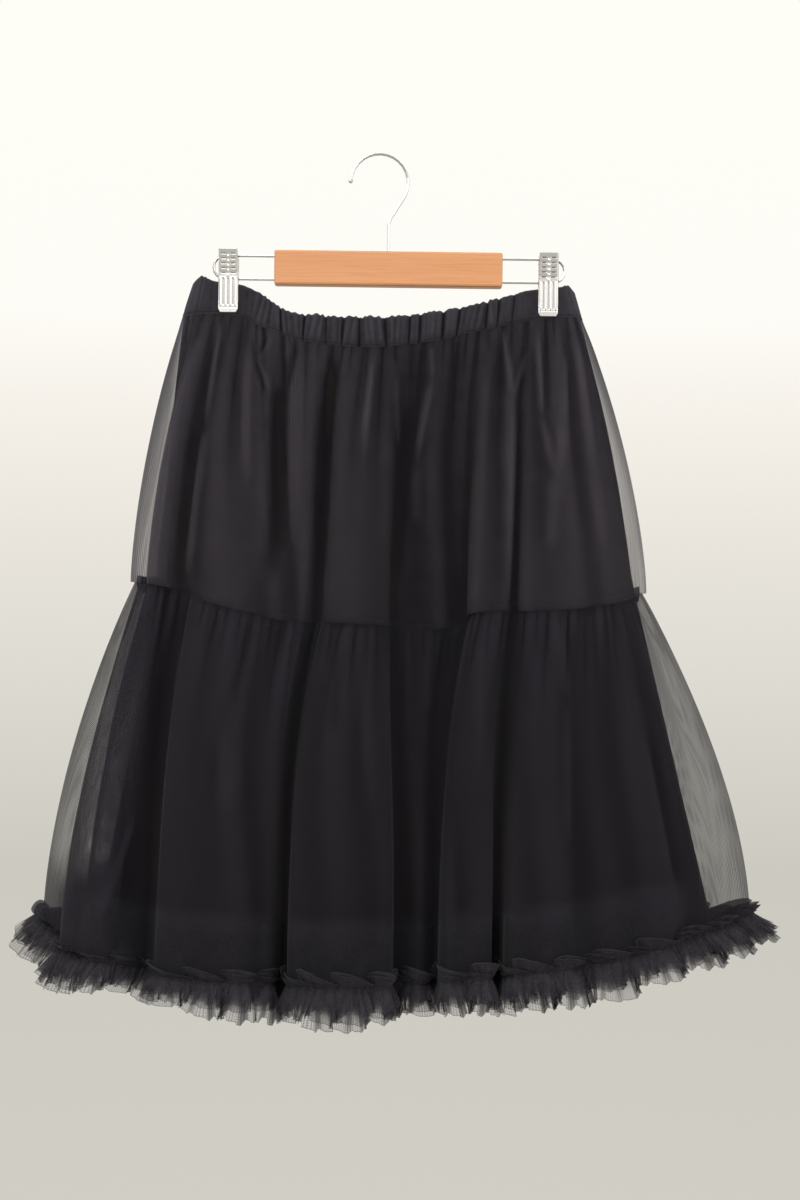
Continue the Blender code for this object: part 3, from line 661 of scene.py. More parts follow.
class Finish:
    """A material whose Principled shader is fed by nodes."""

    def __init__(self, name):
        self.material = bpy.data.materials.new(name)
        self.material.use_nodes = True
        self.tree = self.material.node_tree
        self.shader = self.tree.nodes["Principled BSDF"]

    def set(self, **values):
        for socket, value in values.items():
            self.shader.inputs[socket.replace("_", " ")].default_value = value
        return self

    def node(self, kind, inputs=(), **settings):
        made = self.tree.nodes.new(kind)
        for key, value in settings.items():
            setattr(made, key, value)
        for socket, value in inputs:
            if isinstance(value, bpy.types.NodeSocket):
                self.tree.links.new(value, made.inputs[socket])
            else:
                made.inputs[socket].default_value = value
        return made

    def feed(self, socket, value):
        self.tree.links.new(value, self.shader.inputs[socket])

    def math(self, operation, first, second=0.0, clamp=False):
        made = self.node("ShaderNodeMath", [(0, first), (1, second)], operation=operation)
        made.use_clamp = clamp
        return made.outputs[0]

    def scaled(self, value, factor, offset, clamp=False):
        made = self.node("ShaderNodeMath", [(0, value), (1, factor), (2, offset)], operation="MULTIPLY_ADD")
        made.use_clamp = clamp
        return made.outputs[0]

    def stretched(self, scales):
        made = self.node("ShaderNodeVectorMath", [(0, self.place()), (1, scales)], operation="MULTIPLY")
        return made.outputs[0]

    def speckle(self, speck, middle=0.0):
        """Noise that swings by the speck's depth round a middle value."""
        noise = self.noise(self.place(), speck.scale, speck.detail)
        return self.scaled(noise, speck.depth, middle - speck.depth / 2)

    def value_of(self, name):
        return self.node("ShaderNodeAttribute", attribute_name=name).outputs["Fac"]

    def vector_of(self, name):
        return self.node("ShaderNodeAttribute", attribute_name=name).outputs["Vector"]

    def place(self):
        return self.node("ShaderNodeTexCoord").outputs["Object"]

    def dot(self, vector, direction):
        made = self.node("ShaderNodeVectorMath", [(0, vector), (1, direction)], operation="DOT_PRODUCT")
        return made.outputs["Value"]

    def noise(self, vector, scale, detail=2.0, roughness=0.5):
        values = [("Vector", vector), ("Scale", scale), ("Detail", detail), ("Roughness", roughness)]
        return self.node("ShaderNodeTexNoise", values).outputs["Fac"]

    def mix(self, share, first, second):
        values = zip(MIX_INPUTS, (share, first, second))
        return self.node("ShaderNodeMix", values, data_type="RGBA").outputs[MIX_OUTPUT]

    def bump(self, height, distance, strength):
        values = [("Height", height), ("Distance", distance), ("Strength", strength)]
        made = self.node("ShaderNodeBump", values)
        self.feed("Normal", made.outputs["Normal"])


def net_finish(name, cover, dark, light, edge):
    """Sheer net. Cover is how much of one layer is thread; gathered cloth lets less light through. Its colour
    is painted shading from dark to light.
    """
    made = Finish(name).set(Roughness=0.9, Sheen_Weight=0.04, Specular_IOR_Level=0.05)
    cloth = made.vector_of("cloth")
    turn = 2 * math.pi / NET_PITCH
    threads = None
    for across, down in ((1.0, 0.0), (-0.5, math.sqrt(0.75)), (-0.5, -math.sqrt(0.75))):
        swing = made.math("SINE", made.dot(cloth, (turn * across, turn * down, 0.0)))
        threads = swing if threads is None else made.math("ADD", threads, swing)
    single = made.math("ADD", made.speckle(NET_CLOUDS, cover), made.math("MULTIPLY", threads, -THREAD_SWING))
    open_share = made.math("SUBTRACT", 1.0, single, clamp=True)
    layers_behind = made.math("SUBTRACT", made.dot(cloth, (0.0, 0.0, 1.0)), 1.0)
    let_through = made.math("MULTIPLY", open_share, made.math("POWER", 1.0 - cover, layers_behind))
    cover_all = made.math("SUBTRACT", 1.0, let_through, clamp=True)
    specks = made.math("ADD", made.speckle(NET_MOTTLE), made.speckle(NET_GRAIN))
    # Painted shading: the stand-out value of the cloth's form, with random mottle, picks the colour between
    # dark and light
    shade = made.math("ADD", made.value_of("painted_shading"), specks, clamp=True)
    at_edge = made.value_of("edge")
    cover_all = made.math("MAXIMUM", cover_all, made.math("MULTIPLY", at_edge, EDGE_COVER))
    made.feed("Base Color", made.mix(at_edge, made.mix(shade, dark, light), edge))
    made.feed("Alpha", cover_all)
    return made.material


def lining_finish():
    made = Finish("Lining cloth").set(Roughness=0.7, Specular_IOR_Level=0.08)
    brown = made.noise(made.place(), LINING_CLOUDS)
    made.feed("Base Color", made.mix(brown, (0.003, 0.003, 0.004, 1), (0.011, 0.007, 0.007, 1)))
    made.bump(made.noise(made.stretched(LINING_WEAVE), 1.0, 1.0), 0.0002, 0.5)
    return made.material


def casing_finish():
    made = Finish("Casing cloth").set(Roughness=0.85, Sheen_Weight=0.06, Specular_IOR_Level=0.08)
    # Painted shading: the casing darker in the hollows and folds of its crinkles and lighter on its puffs,
    # with random mottle
    shade = made.math("ADD", made.value_of("painted_shading"), made.speckle(CASING_MOTTLE), clamp=True)
    made.feed("Base Color", made.mix(shade, (0.004, 0.0038, 0.005, 1), (0.044, 0.040, 0.050, 1)))
    made.bump(made.noise(made.place(), CASING_WEAVE, 1.0), 0.0002, 0.4)
    return made.material


def wood_finish():
    made = Finish("Varnished wood").set(Roughness=0.38, Coat_Weight=0.25, Coat_Roughness=0.2)
    broad = made.noise(made.stretched(WOOD_GRAIN), 1.0, 3.0, 0.6)
    fine = made.noise(made.stretched(WOOD_PORES), 1.0)
    base = made.mix(broad, linear(186, 121, 72), linear(208, 149, 101))
    streaks = made.scaled(fine, STREAK_GAIN, STREAK_START, clamp=True)
    made.feed("Base Color", made.mix(streaks, base, linear(176, 111, 64)))
    made.bump(fine, 0.00015, 0.35)
    return made.material


def metal_finish(name, colour, roughness, groove_shade=False):
    made = Finish(name).set(Metallic=1.0)
    brushing = made.noise(made.place(), METAL_BRUSHING)
    made.feed("Roughness", made.scaled(brushing, METAL_ROUGHNESS_SWING, roughness))
    # Painted shade: the dark groove colour where the clip's shading value is low
    if groove_shade:
        made.feed("Base Color", made.mix(made.value_of("painted_shading"), GROOVE_SHADE_COLOUR, colour))
    else:
        worn = tuple(WORN_SHARE * part for part in colour[:3]) + (1,)
        made.feed("Base Color", made.mix(made.noise(made.place(), *METAL_WEAR), worn, colour))
    return made.material


def tucked_edge(edge, out_x, out_y, step):
    """A row of points above an edge, a step outwards from it, which hides inside the casing."""
    return edge + np.stack([out_x * step, out_y * step, np.full(len(edge), TOP_TUCK_RISE)], -1)


def tier(top_level, low_level, ring, row_count, swell, gathers, creases, lines, step):
    """The points of one tier, with its gathers and creases, and the values that its net reads."""
    top, low = ring.level(top_level), ring.level(low_level)
    shares = np.linspace(0, 1, row_count) ** ROW_CROWDING
    top_along, top_total = ring_length(top[0], top[1])
    low_along, low_total = ring_length(low[0], low[1])
    points = np.zeros((row_count, ring.count, 3))
    down = np.zeros((row_count, ring.count))
    height = np.abs(top[2] - low[2])
    swells = swell[1] + (swell[0] - swell[1]) * step_between(np.abs(top[0]), *SWELL_CHANGE)
    for i, share in enumerate(shares):
        opened = 1 - (1 - share) ** swells
        points[i, :, 0] = top[0] + (low[0] - top[0]) * opened
        points[i, :, 1] = top[1] + (low[1] - top[1]) * opened
        points[i, :, 2] = top[2] + (low[2] - top[2]) * share
        down[i] = height * share
    along = {"top": top_along, "low": low_along}
    total = {"top": top_total, "low": low_total}
    pinch = np.zeros((row_count, ring.count))
    for i in range(row_count):
        out_x, out_y = outward(points[i, :, 0], points[i, :, 1], 3)
        lift = np.zeros(ring.count)
        side = np.zeros(ring.count)
        for gather in gathers:
            pleat = Pleats(total[gather.by], gather.widths, gather.seed)
            wandered = along[gather.by] + gather.wander * np.sin(down[i] / WANDER_LENGTH)
            phase, strength, second = pleat.read(wandered)
            reach = gather.reach * (1 + REACH_CHANGE * second)
            fade = np.exp(-((down[i] / reach) ** 2)) * (1 - gather.late * np.exp(-down[i] / LATE_LENGTH))
            gap = pleat.fold_gap(wandered)
            pinch[i] += gather.pinch * strength * fade * np.exp(-((gap / FOLD_SHADE_WIDTH) ** 2))
            wave = puff(phase) - PUFF_MIDDLE if gather.puffed else np.sin(phase)
            lift += gather.lift * strength * fade * wave
            side += gather.shift * second * fade * np.sin(2 * phase)
        lift *= STEEP_LIFT + (1 - STEEP_LIFT) * np.abs(out_y)
        lift *= 1 - (1 - GATHER_START) * np.exp(-down[i] / GATHER_RISE)
        points[i, :, 0] += out_x * lift - out_y * side
        points[i, :, 1] += out_y * lift + out_x * side
    add_creases(points, ring.is_front, creases[0], -1)
    add_creases(points, ring.is_front, creases[1], 1)
    stand = tone_of(points, (LOBE_SPREAD / step, LOBE_STAND), (LOBE_SPREAD / step, LOBE_STAND))
    opened = np.sin(np.linspace(0.1, 1, row_count) * math.pi / 2)
    for i in range(row_count):
        out_x, out_y = outward(points[i, :, 0], points[i, :, 1], 2)
        points[i, :, 0] += out_x * stand[i] * LOBE_BULGE * opened[i]
        points[i, :, 1] += out_y * stand[i] * LOBE_BULGE * opened[i]
    for side_edge in (0, ring.front_count):
        points[:, side_edge, 1] *= SIDE_EDGE_DEPTH_SHARE
    widest = max(low_total, top_total)
    gathered = fullness_of(points, FULLNESS_SPREAD / step)
    for i in range(row_count):
        gathered[i] *= widest / ring_length(points[i, :, 0], points[i, :, 1])[1]
    hem_band = np.zeros((row_count, ring.count))
    if low_level == "hem":
        middle_share = np.exp(-((points[-1, :, 0] / HEM_BAND_HALF_WIDTH) ** 8))
        hem_band = middle_share * (1 - step_between(height - down, *HEM_BAND))
    gathered += HEM_BAND_FULLNESS * hem_band
    cloth = cloth_place(low_along * widest / low_total, down, gathered)
    # Painted shading of the net: darker in the hollows and lighter on the ridges of its form
    painted_shading = tone_of(points, (LOBE_SPREAD / step, LOBE_SHADING_DEPTH), (CREASE_SPREAD / step, CREASE_SHADING_DEPTH))
    # Painted shade over the recess right of the middle, on the front only
    shaded = np.exp(-(((points[:, :, 0] - SHADE_MIDDLE_X) / SHADE_HALF_WIDTH) ** 2))
    painted_shading *= 1 - SHADE_DEPTH * shaded * ring.is_front
    # Painted shade in the narrow folds between pleats
    painted_shading -= pinch
    painted_shading *= 1 - HEM_BAND_SHADE * hem_band**HEM_BAND_SHADE_RISE
    from_seam = down if top_level == "seam" else height - down
    painted_shading *= 1 - SEAM_SHADE * np.exp(-((from_seam / SEAM_SHADE_REACH) ** 2))
    # Painted light and shade along the creases: lighter where they stand out, darker in hollows, with a
    # narrow painted highlight on sharp ridges
    for line_set, here in ((creases[0], ring.is_front), (creases[1], ~ring.is_front)):
        for weight, marks in ((CREASE_SHADING, line_set), (CREASE_EDGE_HIGHLIGHT, sharp_ridges(line_set))):
            painted_shading += weight * near_lines(points, marks) * here
    edge = np.zeros((row_count, ring.count))
    for middle in (0, ring.front_count):
        away = np.hypot(points[:, :, 0] - points[:, middle : middle + 1, 0], points[:, :, 1])
        edge += np.exp(-((away / SIDE_FOLD_WIDTH) ** 2))
    edge += np.where(ring.is_front, near_lines(points, lines), 0)
    values = {"cloth": cloth, "painted_shading": painted_shading, "edge": np.clip(edge, 0, 1)}
    if top_level == "waist":
        out_x, out_y = outward(points[0, :, 0], points[0, :, 1], 3)
        tucked = tucked_edge(points[0], out_x, out_y, -TOP_TUCK_INWARD)
        points = np.concatenate([tucked[None], points])
        values = {title: np.concatenate([value[:1], value]) for title, value in values.items()}
    return points, values


Gather = namedtuple("Gather", "by widths seed lift shift reach late wander puffed pinch")
UPPER_GATHERS = table(
    Gather,
    ("top", (6.0, 16.0), 11, 1.8, 0.4, 30.0, 0.0, 1.0, True, 0.22),
    ("top", (16.0, 38.0), 12, 2.8, 0.8, 110.0, 0.3, 3.0, True, 0.22),
    ("low", (30.0, 64.0), 13, 2.4, 0.0, 420.0, 1.0, 6.0, False, 0.0),
)
LOWER_GATHERS = table(
    Gather,
    ("top", (7.0, 13.0), 21, 2.8, 0.9, 34.0, 0.0, 1.0, True, 0.34),
    ("top", (15.0, 32.0), 22, 3.6, 1.2, 85.0, 0.2, 3.0, True, 0.26),
    ("low", (34.0, 70.0), 23, 2.8, 0.0, 520.0, 1.0, 8.0, False, 0.0),
)

# Where a fold of the sheer net lies on itself, so that it shows as a thin dark line
UPPER_DENSE_LINES = table(
    Crease,
    (-184, -196, -214, -375, 0.55, 1.6),
    (-178, -160, -219, -388, 0.35, 1.4),
    (-186, -230, -205, -396, 0.3, 1.2),
    (193, -200, 232, -372, 0.35, 1.2),
)
LOWER_DENSE_LINES = table(
    Crease,
    (238, -412, 266, -458, 0.8, 1.4),
    (240, -408, 262, -500, 0.5, 1.4),
    (240, -446, 296, -684, 0.75, 1.5),
    (-225, -411, -277, -690, 0.5, 1.6),
    (-223, -400, -250, -500, 0.4, 1.4),
    (-219, -400, -232, -470, 0.5, 1.4),
    (248, -412, 290, -520, 0.3, 1.4),
)


def shifted_tucks(folds):
    """The folds with the tucks at the left edge as far in as the upper tier has them."""
    return tuple(
        fold._replace(seam_x=fold.seam_x + UPPER_TUCK_SHIFT.get(fold.name, 0)) for fold in folds
    )


def make_tiers(net_upper, net_lower):
    ring_upper = Ring(
        shifted_tucks(FRONT_FOLDS), shifted_tucks(BACK_FOLDS), fold_line, ("waist", "seam"), UPPER_STEP
    )
    points, values = tier(
        "waist", "seam", ring_upper, UPPER_ROW_COUNT, UPPER_SWELL, UPPER_GATHERS,
        (UPPER_FRONT_CREASES, UPPER_BACK_CREASES), UPPER_DENSE_LINES, UPPER_STEP,
    )
    upper = cloth_mesh("net_upper_tier", points, values, net_upper)
    ring_lower = Ring(FRONT_FOLDS, BACK_FOLDS, fold_line, ("seam", "hem"), LOWER_STEP)
    low_points, low_values = tier(
        "seam", "hem", ring_lower, LOWER_ROW_COUNT, LOWER_SWELL, LOWER_GATHERS,
        (LOWER_FRONT_CREASES, LOWER_BACK_CREASES), LOWER_DENSE_LINES, LOWER_STEP,
    )
    lower = cloth_mesh("net_lower_tier", low_points, low_values, net_lower)
    return upper, lower, ring_lower, low_points


def make_seam(ring, finish):
    """The gathered edge of the lower tier, turned to the inside of the seam between the tiers."""
    x, y, z = ring.level("seam")
    out_x, out_y = outward(x, y, 3)
    along, total = ring_length(x, y)
    phase, strength, second = Pleats(total, SEAM_PLEAT, 61).read(along)
    wave = SEAM_WAVE * strength * np.sin(phase)
    rows = []
    for height, inward in SEAM_ROWS:
        out = wave - inward
        row_z = z + height * (1 + SEAM_UNEVENNESS * second)
        rows.append(np.stack([x + out_x * out, y + out_y * out, row_z], -1))
    points = np.array(rows)
    cloth = cloth_place(along * SEAM_THREAD_SPREAD, points[:, :, 2], SEAM_FULLNESS)
    # Painted shading of the turned edge, kept near the dark colour
    painted_shading = SEAM_SHADING * tone_of(points, SEAM_WIDE, SEAM_NARROW)
    values = {"cloth": cloth, "painted_shading": painted_shading, "edge": np.zeros(points.shape[:2])}
    return cloth_mesh("tier_seam", points, values, finish)


STITCH_PITCH = 3.0
STITCH_LENGTH = 2.0
STITCH_HALF_HEIGHT = 0.3
STITCH_RISE = 0.45


def make_stitches(name, points, out_x, out_y, finish):
    """A row of short raised stitches along a closed line of points."""
    along, total = ring_length(points[:, 0], points[:, 1])
    count = int(total / STITCH_PITCH)
    middles = (np.arange(count) + 0.5) * total / count
    verts = []
    faces = []
    for shift in (-0.5, 0.5):
        spots = np.mod(middles + shift * STITCH_LENGTH, total)
        columns = [read_round(spots, along, total, part) for part in points.T]
        out = [read_round(spots, along, total, part) for part in (out_x, out_y)]
        line = np.stack(columns, -1)
        outer = np.stack([*out, np.zeros(count)], -1)
        for away, up in ((0.0, STITCH_HALF_HEIGHT), (STITCH_RISE, 0.0), (0.0, -STITCH_HALF_HEIGHT)):
            verts.append(line + outer * away + np.array([0.0, 0.0, up]))
    grid = np.stack(verts, 1)
    for stitch in range(count):
        first = stitch * 6
        for pair in ((0, 1), (1, 2), (2, 0)):
            faces.append([first + pair[0], first + pair[1], first + pair[1] + 3, first + pair[0] + 3])
        faces.append([first, first + 2, first + 1])
        faces.append([first + 3, first + 4, first + 5])
    mesh = bpy.data.meshes.new(name)
    mesh.from_pydata((grid.reshape(-1, 3) * MM).tolist(), [], faces)
    return add_piece(name, mesh, finish)


Ply = namedtuple("Ply", "name seed step drop_share heading_share petals pleats")
RUFFLE_PLIES = table(
    Ply,
    ("ruffle_outer_ply", 31, 2.6, 1.0, 1.0, (28.0, 46.0), (6.0, 11.0)),
    ("ruffle_middle_ply", 36, 1.4, 0.78, 0.75, (24.0, 40.0), (6.0, 11.0)),
    ("ruffle_inner_ply", 41, 0.2, 0.6, 0.5, (20.0, 34.0), (5.5, 10.0)),
)
RUFFLE_ROWS = (
    1.0, 0.94, 0.78, 0.58, 0.38, 0.2, 0.06, 0.0,
    -0.06, -0.16, -0.28, -0.4, -0.52, -0.64, -0.76, -0.87, -0.96, -1.0,
)
RUFFLE_FULLNESS = 1.1
STITCH_FULLNESS = 7.0
HEADING_FULLNESS = 6.0
STREAK_FULLNESS = 4.5
STREAK_WIDTH = 0.9
STREAK_FADE = 0.7
STREAK_END = (0.7, 1.1)
STREAK_END_CHANGE = 0.2
RUFFLE_DENSE_SHARE = 0.56
# Painted shading of the ruffle's folds, and a painted highlight along its heading's top edge
RUFFLE_SHADING = 0.55
HEADING_EDGE_HIGHLIGHT = 1.4
# The ruffle along the hem, from left to right: how far it hangs and the share of its heading's height
HemPlace = namedtuple("HemPlace", "x drop heading")
HEM_PLACES = table(
    HemPlace,
    (-330, 25, 0.35), (-262, 36, 0.4), (-222, 24, 0.6), (-150, 28, 0.7),
    (-100, 31, 0.9), (-60, 33, 1.0), (-25, 35, 1.0), (10, 33, 1.0),
    (50, 27, 1.0), (75, 27, 1.0), (130, 33, 1.0), (230, 30, 0.8),
    (330, 25, 0.7),
)


def make_ruffle(ply, hem, finish):
    """One ply of the gathered strip round the hem: it fans out above and below its stitching."""
    base_x, base_y, base_z = hem[:, 0], hem[:, 1], hem[:, 2] + HEM_TURN
    along, total = ring_length(base_x, base_y)
    count = round(total / RUFFLE_STEP)
    spots = np.arange(count) * total / count
    x, y, z = (read_round(spots, along, total, part) for part in (base_x, base_y, base_z))
    x, y = (blurred(part, RUFFLE_LINE_BLUR) for part in (x, y))
    out_x, out_y = (blurred(part, RUFFLE_SQUARE_BLUR) for part in outward(x, y))
    oval_x, oval_y = x / OVAL_HALF_WIDTH**2, y / OVAL_HALF_DEPTH**2
    oval = np.hypot(oval_x, oval_y)
    oval_x, oval_y = oval_x / oval, oval_y / oval
    sideways = np.abs(oval_x) ** 3
    petal_phase, petal_strength, petal_second = Pleats(total, ply.petals, ply.seed).read(spots)
    pleats = Pleats(total, ply.pleats, ply.seed + 1, RUFFLE_PLEAT_STRENGTH)
    pleat_phase, pleat_strength, pleat_second = pleats.read(spots)
    streak = np.exp(-((pleats.fold_gap(spots) / STREAK_WIDTH) ** 2))
    slant = np.mod(pleats.turn(spots), 1.0) - 0.5
    arch = np.abs(np.sin(petal_phase / 2))
    hem_x = column(HEM_PLACES, "x")
    heading = RUFFLE_HEADING * ply.heading_share * np.interp(x, hem_x, column(HEM_PLACES, "heading"))
    drop = ply.drop_share * np.interp(x, hem_x, column(HEM_PLACES, "drop"))
    flare = RUFFLE_FLARE + (RUFFLE_SIDE_FLARE - RUFFLE_FLARE) * sideways
    rows = []
    fullness = []
    for row in RUFFLE_ROWS:
        away = abs(row)
        if row >= 0:
            flop = RUFFLE_HEADING_SHARE + RUFFLE_HEADING_FLOP * np.sin(petal_phase + 1) * petal_strength
            height = heading * row * flop
            out = RUFFLE_HEADING_FLARE * row + ply.step
            wave = RUFFLE_HEADING_WAVE
            fold = RUFFLE_FINE_FOLD
            fullness.append(STITCH_FULLNESS + (HEADING_FULLNESS - STITCH_FULLNESS) * away + 0 * x)
        else:
            uneven = RUFFLE_DROP_CHANGE * arch + RUFFLE_DROP_CHANGE * petal_second
            height = drop * row * (RUFFLE_DROP_SHARE + uneven + RUFFLE_DROP_SLANT * slant * pleat_strength)
            out = flare * away + ply.step
            wave = RUFFLE_DROP_WAVE
            fold = RUFFLE_FINE_FOLD + RUFFLE_EDGE_FOLD * away
            near = math.exp(-((away / RUFFLE_DENSE_SHARE) ** 4))
            end = STREAK_END_CHANGE * pleat_second
            kept = 1 - STREAK_FADE * step_between(away, STREAK_END[0] + end, STREAK_END[1] + end)
            fullness.append(
                RUFFLE_FULLNESS + (STITCH_FULLNESS - RUFFLE_FULLNESS) * near
                + STREAK_FULLNESS * streak * pleat_strength * kept
            )
        lift = wave * away**RUFFLE_WAVE_RISE * petal_strength * np.sin(petal_phase)
        slide = -RUFFLE_FAN * away * petal_strength * np.cos(petal_phase)
        lift += fold * pleat_strength * np.sin(pleat_phase)
        slide += RUFFLE_FINE_FOLD * fold * pleat_strength * np.sin(2 * pleat_phase)
        row_x = x + oval_x * out + out_x * lift - out_y * slide
        row_y = y + oval_y * out + out_y * lift + out_x * slide
        rows.append(np.stack([row_x, row_y, z + height], -1))
    points = np.array(rows)
    down = np.array(RUFFLE_ROWS)[:, None] * RUFFLE_CUT_DROP
    cloth = cloth_place(spots * RUFFLE_THREAD_SPREAD, down, np.array(fullness))
    edge = np.zeros(points.shape[:2])
    edge[-1] = 1.0
    # Painted shading from the ruffle's folds, and a painted highlight along the heading's top edge
    painted_shading = RUFFLE_SHADING * tone_of(points, RUFFLE_WIDE, RUFFLE_NARROW)
    painted_shading[0] = HEADING_EDGE_HIGHLIGHT
    values = {"cloth": cloth, "painted_shading": painted_shading, "edge": edge}
    return cloth_mesh(ply.name, points, values, finish)


def make_casing(finish):
    """The waist casing: cloth folded over an elastic, crinkled all round but under the clips."""
    inner_shares = np.linspace(CASING_INNER_START, 1, CASING_INNER_ROWS)
    shares = np.concatenate([np.linspace(1, 0, CASING_OUTER_ROWS), inner_shares])
    outside = np.concatenate([np.ones(CASING_OUTER_ROWS), -np.ones(CASING_INNER_ROWS)])
    columns = []
    for side in (-1, 1):
        dense = np.linspace(0, len(CASING) - 1, EDGE_SAMPLES * (len(CASING) - 1) + 1)
        edge_x, _ = casing_edge("bottom", dense)
        length = np.concatenate([[0], np.cumsum(np.abs(np.diff(edge_x)))])
        count = round(length[-1] / CASING_STEP)
        places = np.interp(np.linspace(0, length[-1], count + 1), length, dense)
        if side > 0:
            places = places[::-1]
        columns.append(places[:-1])
    places = np.concatenate(columns)
    front_count = len(columns[0])
    side = np.where(np.arange(len(places)) < front_count, -1.0, 1.0)
    top_x, top_z = casing_edge("top", places)
    low_x, low_z = casing_edge("bottom", places)
    depth = smooth(column(CASING, "depth"), places)
    crinkle = np.sqrt(smooth(column(CASING, "crinkle"), places))
    ends = np.clip(np.minimum(places, len(CASING) - 1 - places) / CASING_END_REACH, 0, 1)
    depth = depth * np.sin(ends * math.pi / 2)
    along, total = ring_length(low_x, side * depth)
    pleats = Pleats(total, CASING_PLEAT, 51, CASING_PLEAT_STRENGTH)
    phase, strength, second = pleats.read(along)
    scallops = Pleats(total, CASING_SCALLOP, 52, CASING_SCALLOP_STRENGTH)
    small_phase, small_strength, small_second = scallops.read(along)
    # Painted shade in the narrow folds between the casing's pleats
    pinch = CASING_FOLD_SHADE * np.exp(-((pleats.fold_gap(along) / CASING_FOLD_WIDTH) ** 2)) * strength * crinkle
    rows = []
    for share, face in zip(shares, outside):
        lean = CASING_LEAN * second * (share - 0.5)
        local = np.abs(np.sin(phase / 2)) ** CASING_PUFF_FLATNESS
        from_stitches = (share - CASING_STITCH_SHARE) / CASING_STITCH_REACH
        pinched = 1 - CASING_STITCH_PINCH * math.exp(-(from_stitches**2))
        round_top = math.sqrt(1 - (1 - min(share / CASING_TOP_ROUND, 1)) ** 2)
        tucked = step_between(share, CASING_STITCH_SHARE, 1.0)
        wall = CASING_HALF_WALL * round_top * (1 - CASING_EDGE_THINNING * tucked)
        puffed = CASING_PUFF_AT_EDGE + CASING_PUFF_RISE * math.sin(share * math.pi)
        lift = crinkle * strength * CASING_LIFT * local * puffed
        small_wave = np.sin(small_phase + 2 * small_second * share)
        lift += CASING_SMALL_LIFT * crinkle * small_strength * small_wave * round_top
        lift *= pinched * (1 - CASING_EDGE_CALM * tucked)
        x = top_x + (low_x - top_x) * share + crinkle * lean
        rise = (local - CASING_TOP_MIDDLE) * strength
        rise += CASING_TOP_SMALL_WAVE * small_strength * np.sin(small_phase)
        z = top_z + (low_z - top_z) * share + CASING_TOP_WAVE * crinkle * rise * (1 - share) ** 0.5
        y = side * depth
        out_x, out_y = outward(low_x, y, 4)
        out = face * wall + lift
        rows.append(np.stack([x + out_x * out, y + out_y * out, z], -1))
    points = np.array(rows)
    stitch_row = int(np.argmin(np.abs(shares[:CASING_OUTER_ROWS] - CASING_STITCH_SHARE)))
    line = points[stitch_row]
    out_x, out_y = outward(line[:, 0], line[:, 1], 3)
    stitches = make_stitches("casing_stitches", line, out_x, out_y, finish)
    # Painted shading from the crinkles' form, darker in the folds between pleats
    painted_shading = tone_of(points, CASING_WIDE, CASING_NARROW) - pinch
    return cloth_mesh("waist_casing", points, {"painted_shading": painted_shading}, finish), stitches


def lining_line(rows, level, places):
    x = sheer_ends(column(rows, level + "_x"), places)
    ends = ease_ends(rows, places)
    if level == "waist":
        depth, z = under_casing(x)
        return x, (depth - LAYER_STEP) * ends, z - EDGE_GAP
    depth = smooth(column(rows, level + "_depth"), places)
    if level == "middle":
        return x, depth, np.full(len(places), LINING_MIDDLE_Z)
    centre = 1 - np.abs(2 * places / (len(rows) - 1) - 1) ** 3
    return x, depth, LINING_HEM_SIDE_Z + (LINING_HEM_CENTRE_Z - LINING_HEM_SIDE_Z) * centre


def make_lining(finish):
    back = tuple(
        flute._replace(
            middle_depth=flute.middle_depth * BACK_LINING_SHARE, hem_depth=flute.hem_depth * BACK_LINING_SHARE
        )
        for flute in LINING_FLUTES[::-1]
    )
    ring = Ring(LINING_FLUTES, back, lining_line, ("middle", "hem"), LINING_STEP)
    levels = [np.stack(ring.level(name), -1) for name in ("waist", "middle", "hem")]
    rows = []
    for level in np.linspace(0, 2, LINING_ROW_COUNT):
        low = min(int(level), 1)
        row = levels[low] + (levels[low + 1] - levels[low]) * (level - low)
        if level < 1:
            outer = np.clip(row[:, 0] / HIP_HALF_WIDTH, -1, 1) ** 3
            row[:, 0] += LINING_HIP * math.sin(math.pi * level) * outer
        rows.append(row)
    out_x, out_y = outward(rows[0][:, 0], rows[0][:, 1])
    rows.insert(0, tucked_edge(rows[0], out_x, out_y, LINING_TUCK_OUTWARD))
    return cloth_mesh("skirt_lining", np.array(rows), {}, finish)


# Clip jaws: a pressed sheet whose middle stands off the hanger's plane by out at each height
JawRow = namedtuple("JawRow", "z out")
JAW_PROFILE = table(
    JawRow,
    (-89.0, 8.2), (-91.0, 7.8), (-93.5, 7.3), (-96.0, 6.8), (-98.5, 6.3),
    (-101.0, 5.9), (-103.5, 5.5), (-106.0, 5.1), (-110.0, 4.3),
    (-113.0, 4.1), (-146.5, 4.1),
)
JAW_SHEET = 1.2
JAW_HALF_TOP = 8.9
JAW_HALF_LOW = 9.6
JAW_CORNER_Z = -143.5
JAW_CORNER_CUT = 1.6
JAW_STEP = 0.3
JAW_EDGE_BEND = 1.2
JAW_BEND_START = 0.9
SLOT_FIRST_Z = -93.4
SLOT_PITCH = 4.3
SLOT_COUNT = 5
SLOT_DEPTH = 0.75
SLOT_HALF_HEIGHT = 0.55
SLOT_INNER = 1.9
SLOT_OUTER = 6.2
SLOT_SOFTNESS = 0.6
BEAD_HEIGHT = 0.5
BEAD_HALF_WIDTH = 0.9
BEAD_LENGTH = 1.6
FLUTES = (-6.9, -2.4, 2.1, 6.6)
FLUTE_HEIGHT = 1.0
FLUTE_HALF_WIDTH = 0.85
FLUTE_SOFTNESS = 0.8
PANEL_DEPTH = 0.35
PANEL_HALF_WIDTH = 8.6
FLUTE_TOP_Z = -115.5
FLUTE_LOW_Z = -140.5
TEETH_Z = -141.6
TEETH_PITCH = 2.3
TEETH_DEPTH = 0.7
TEETH_HALF_HEIGHT = 0.6
TEETH_MARGIN = 1.2
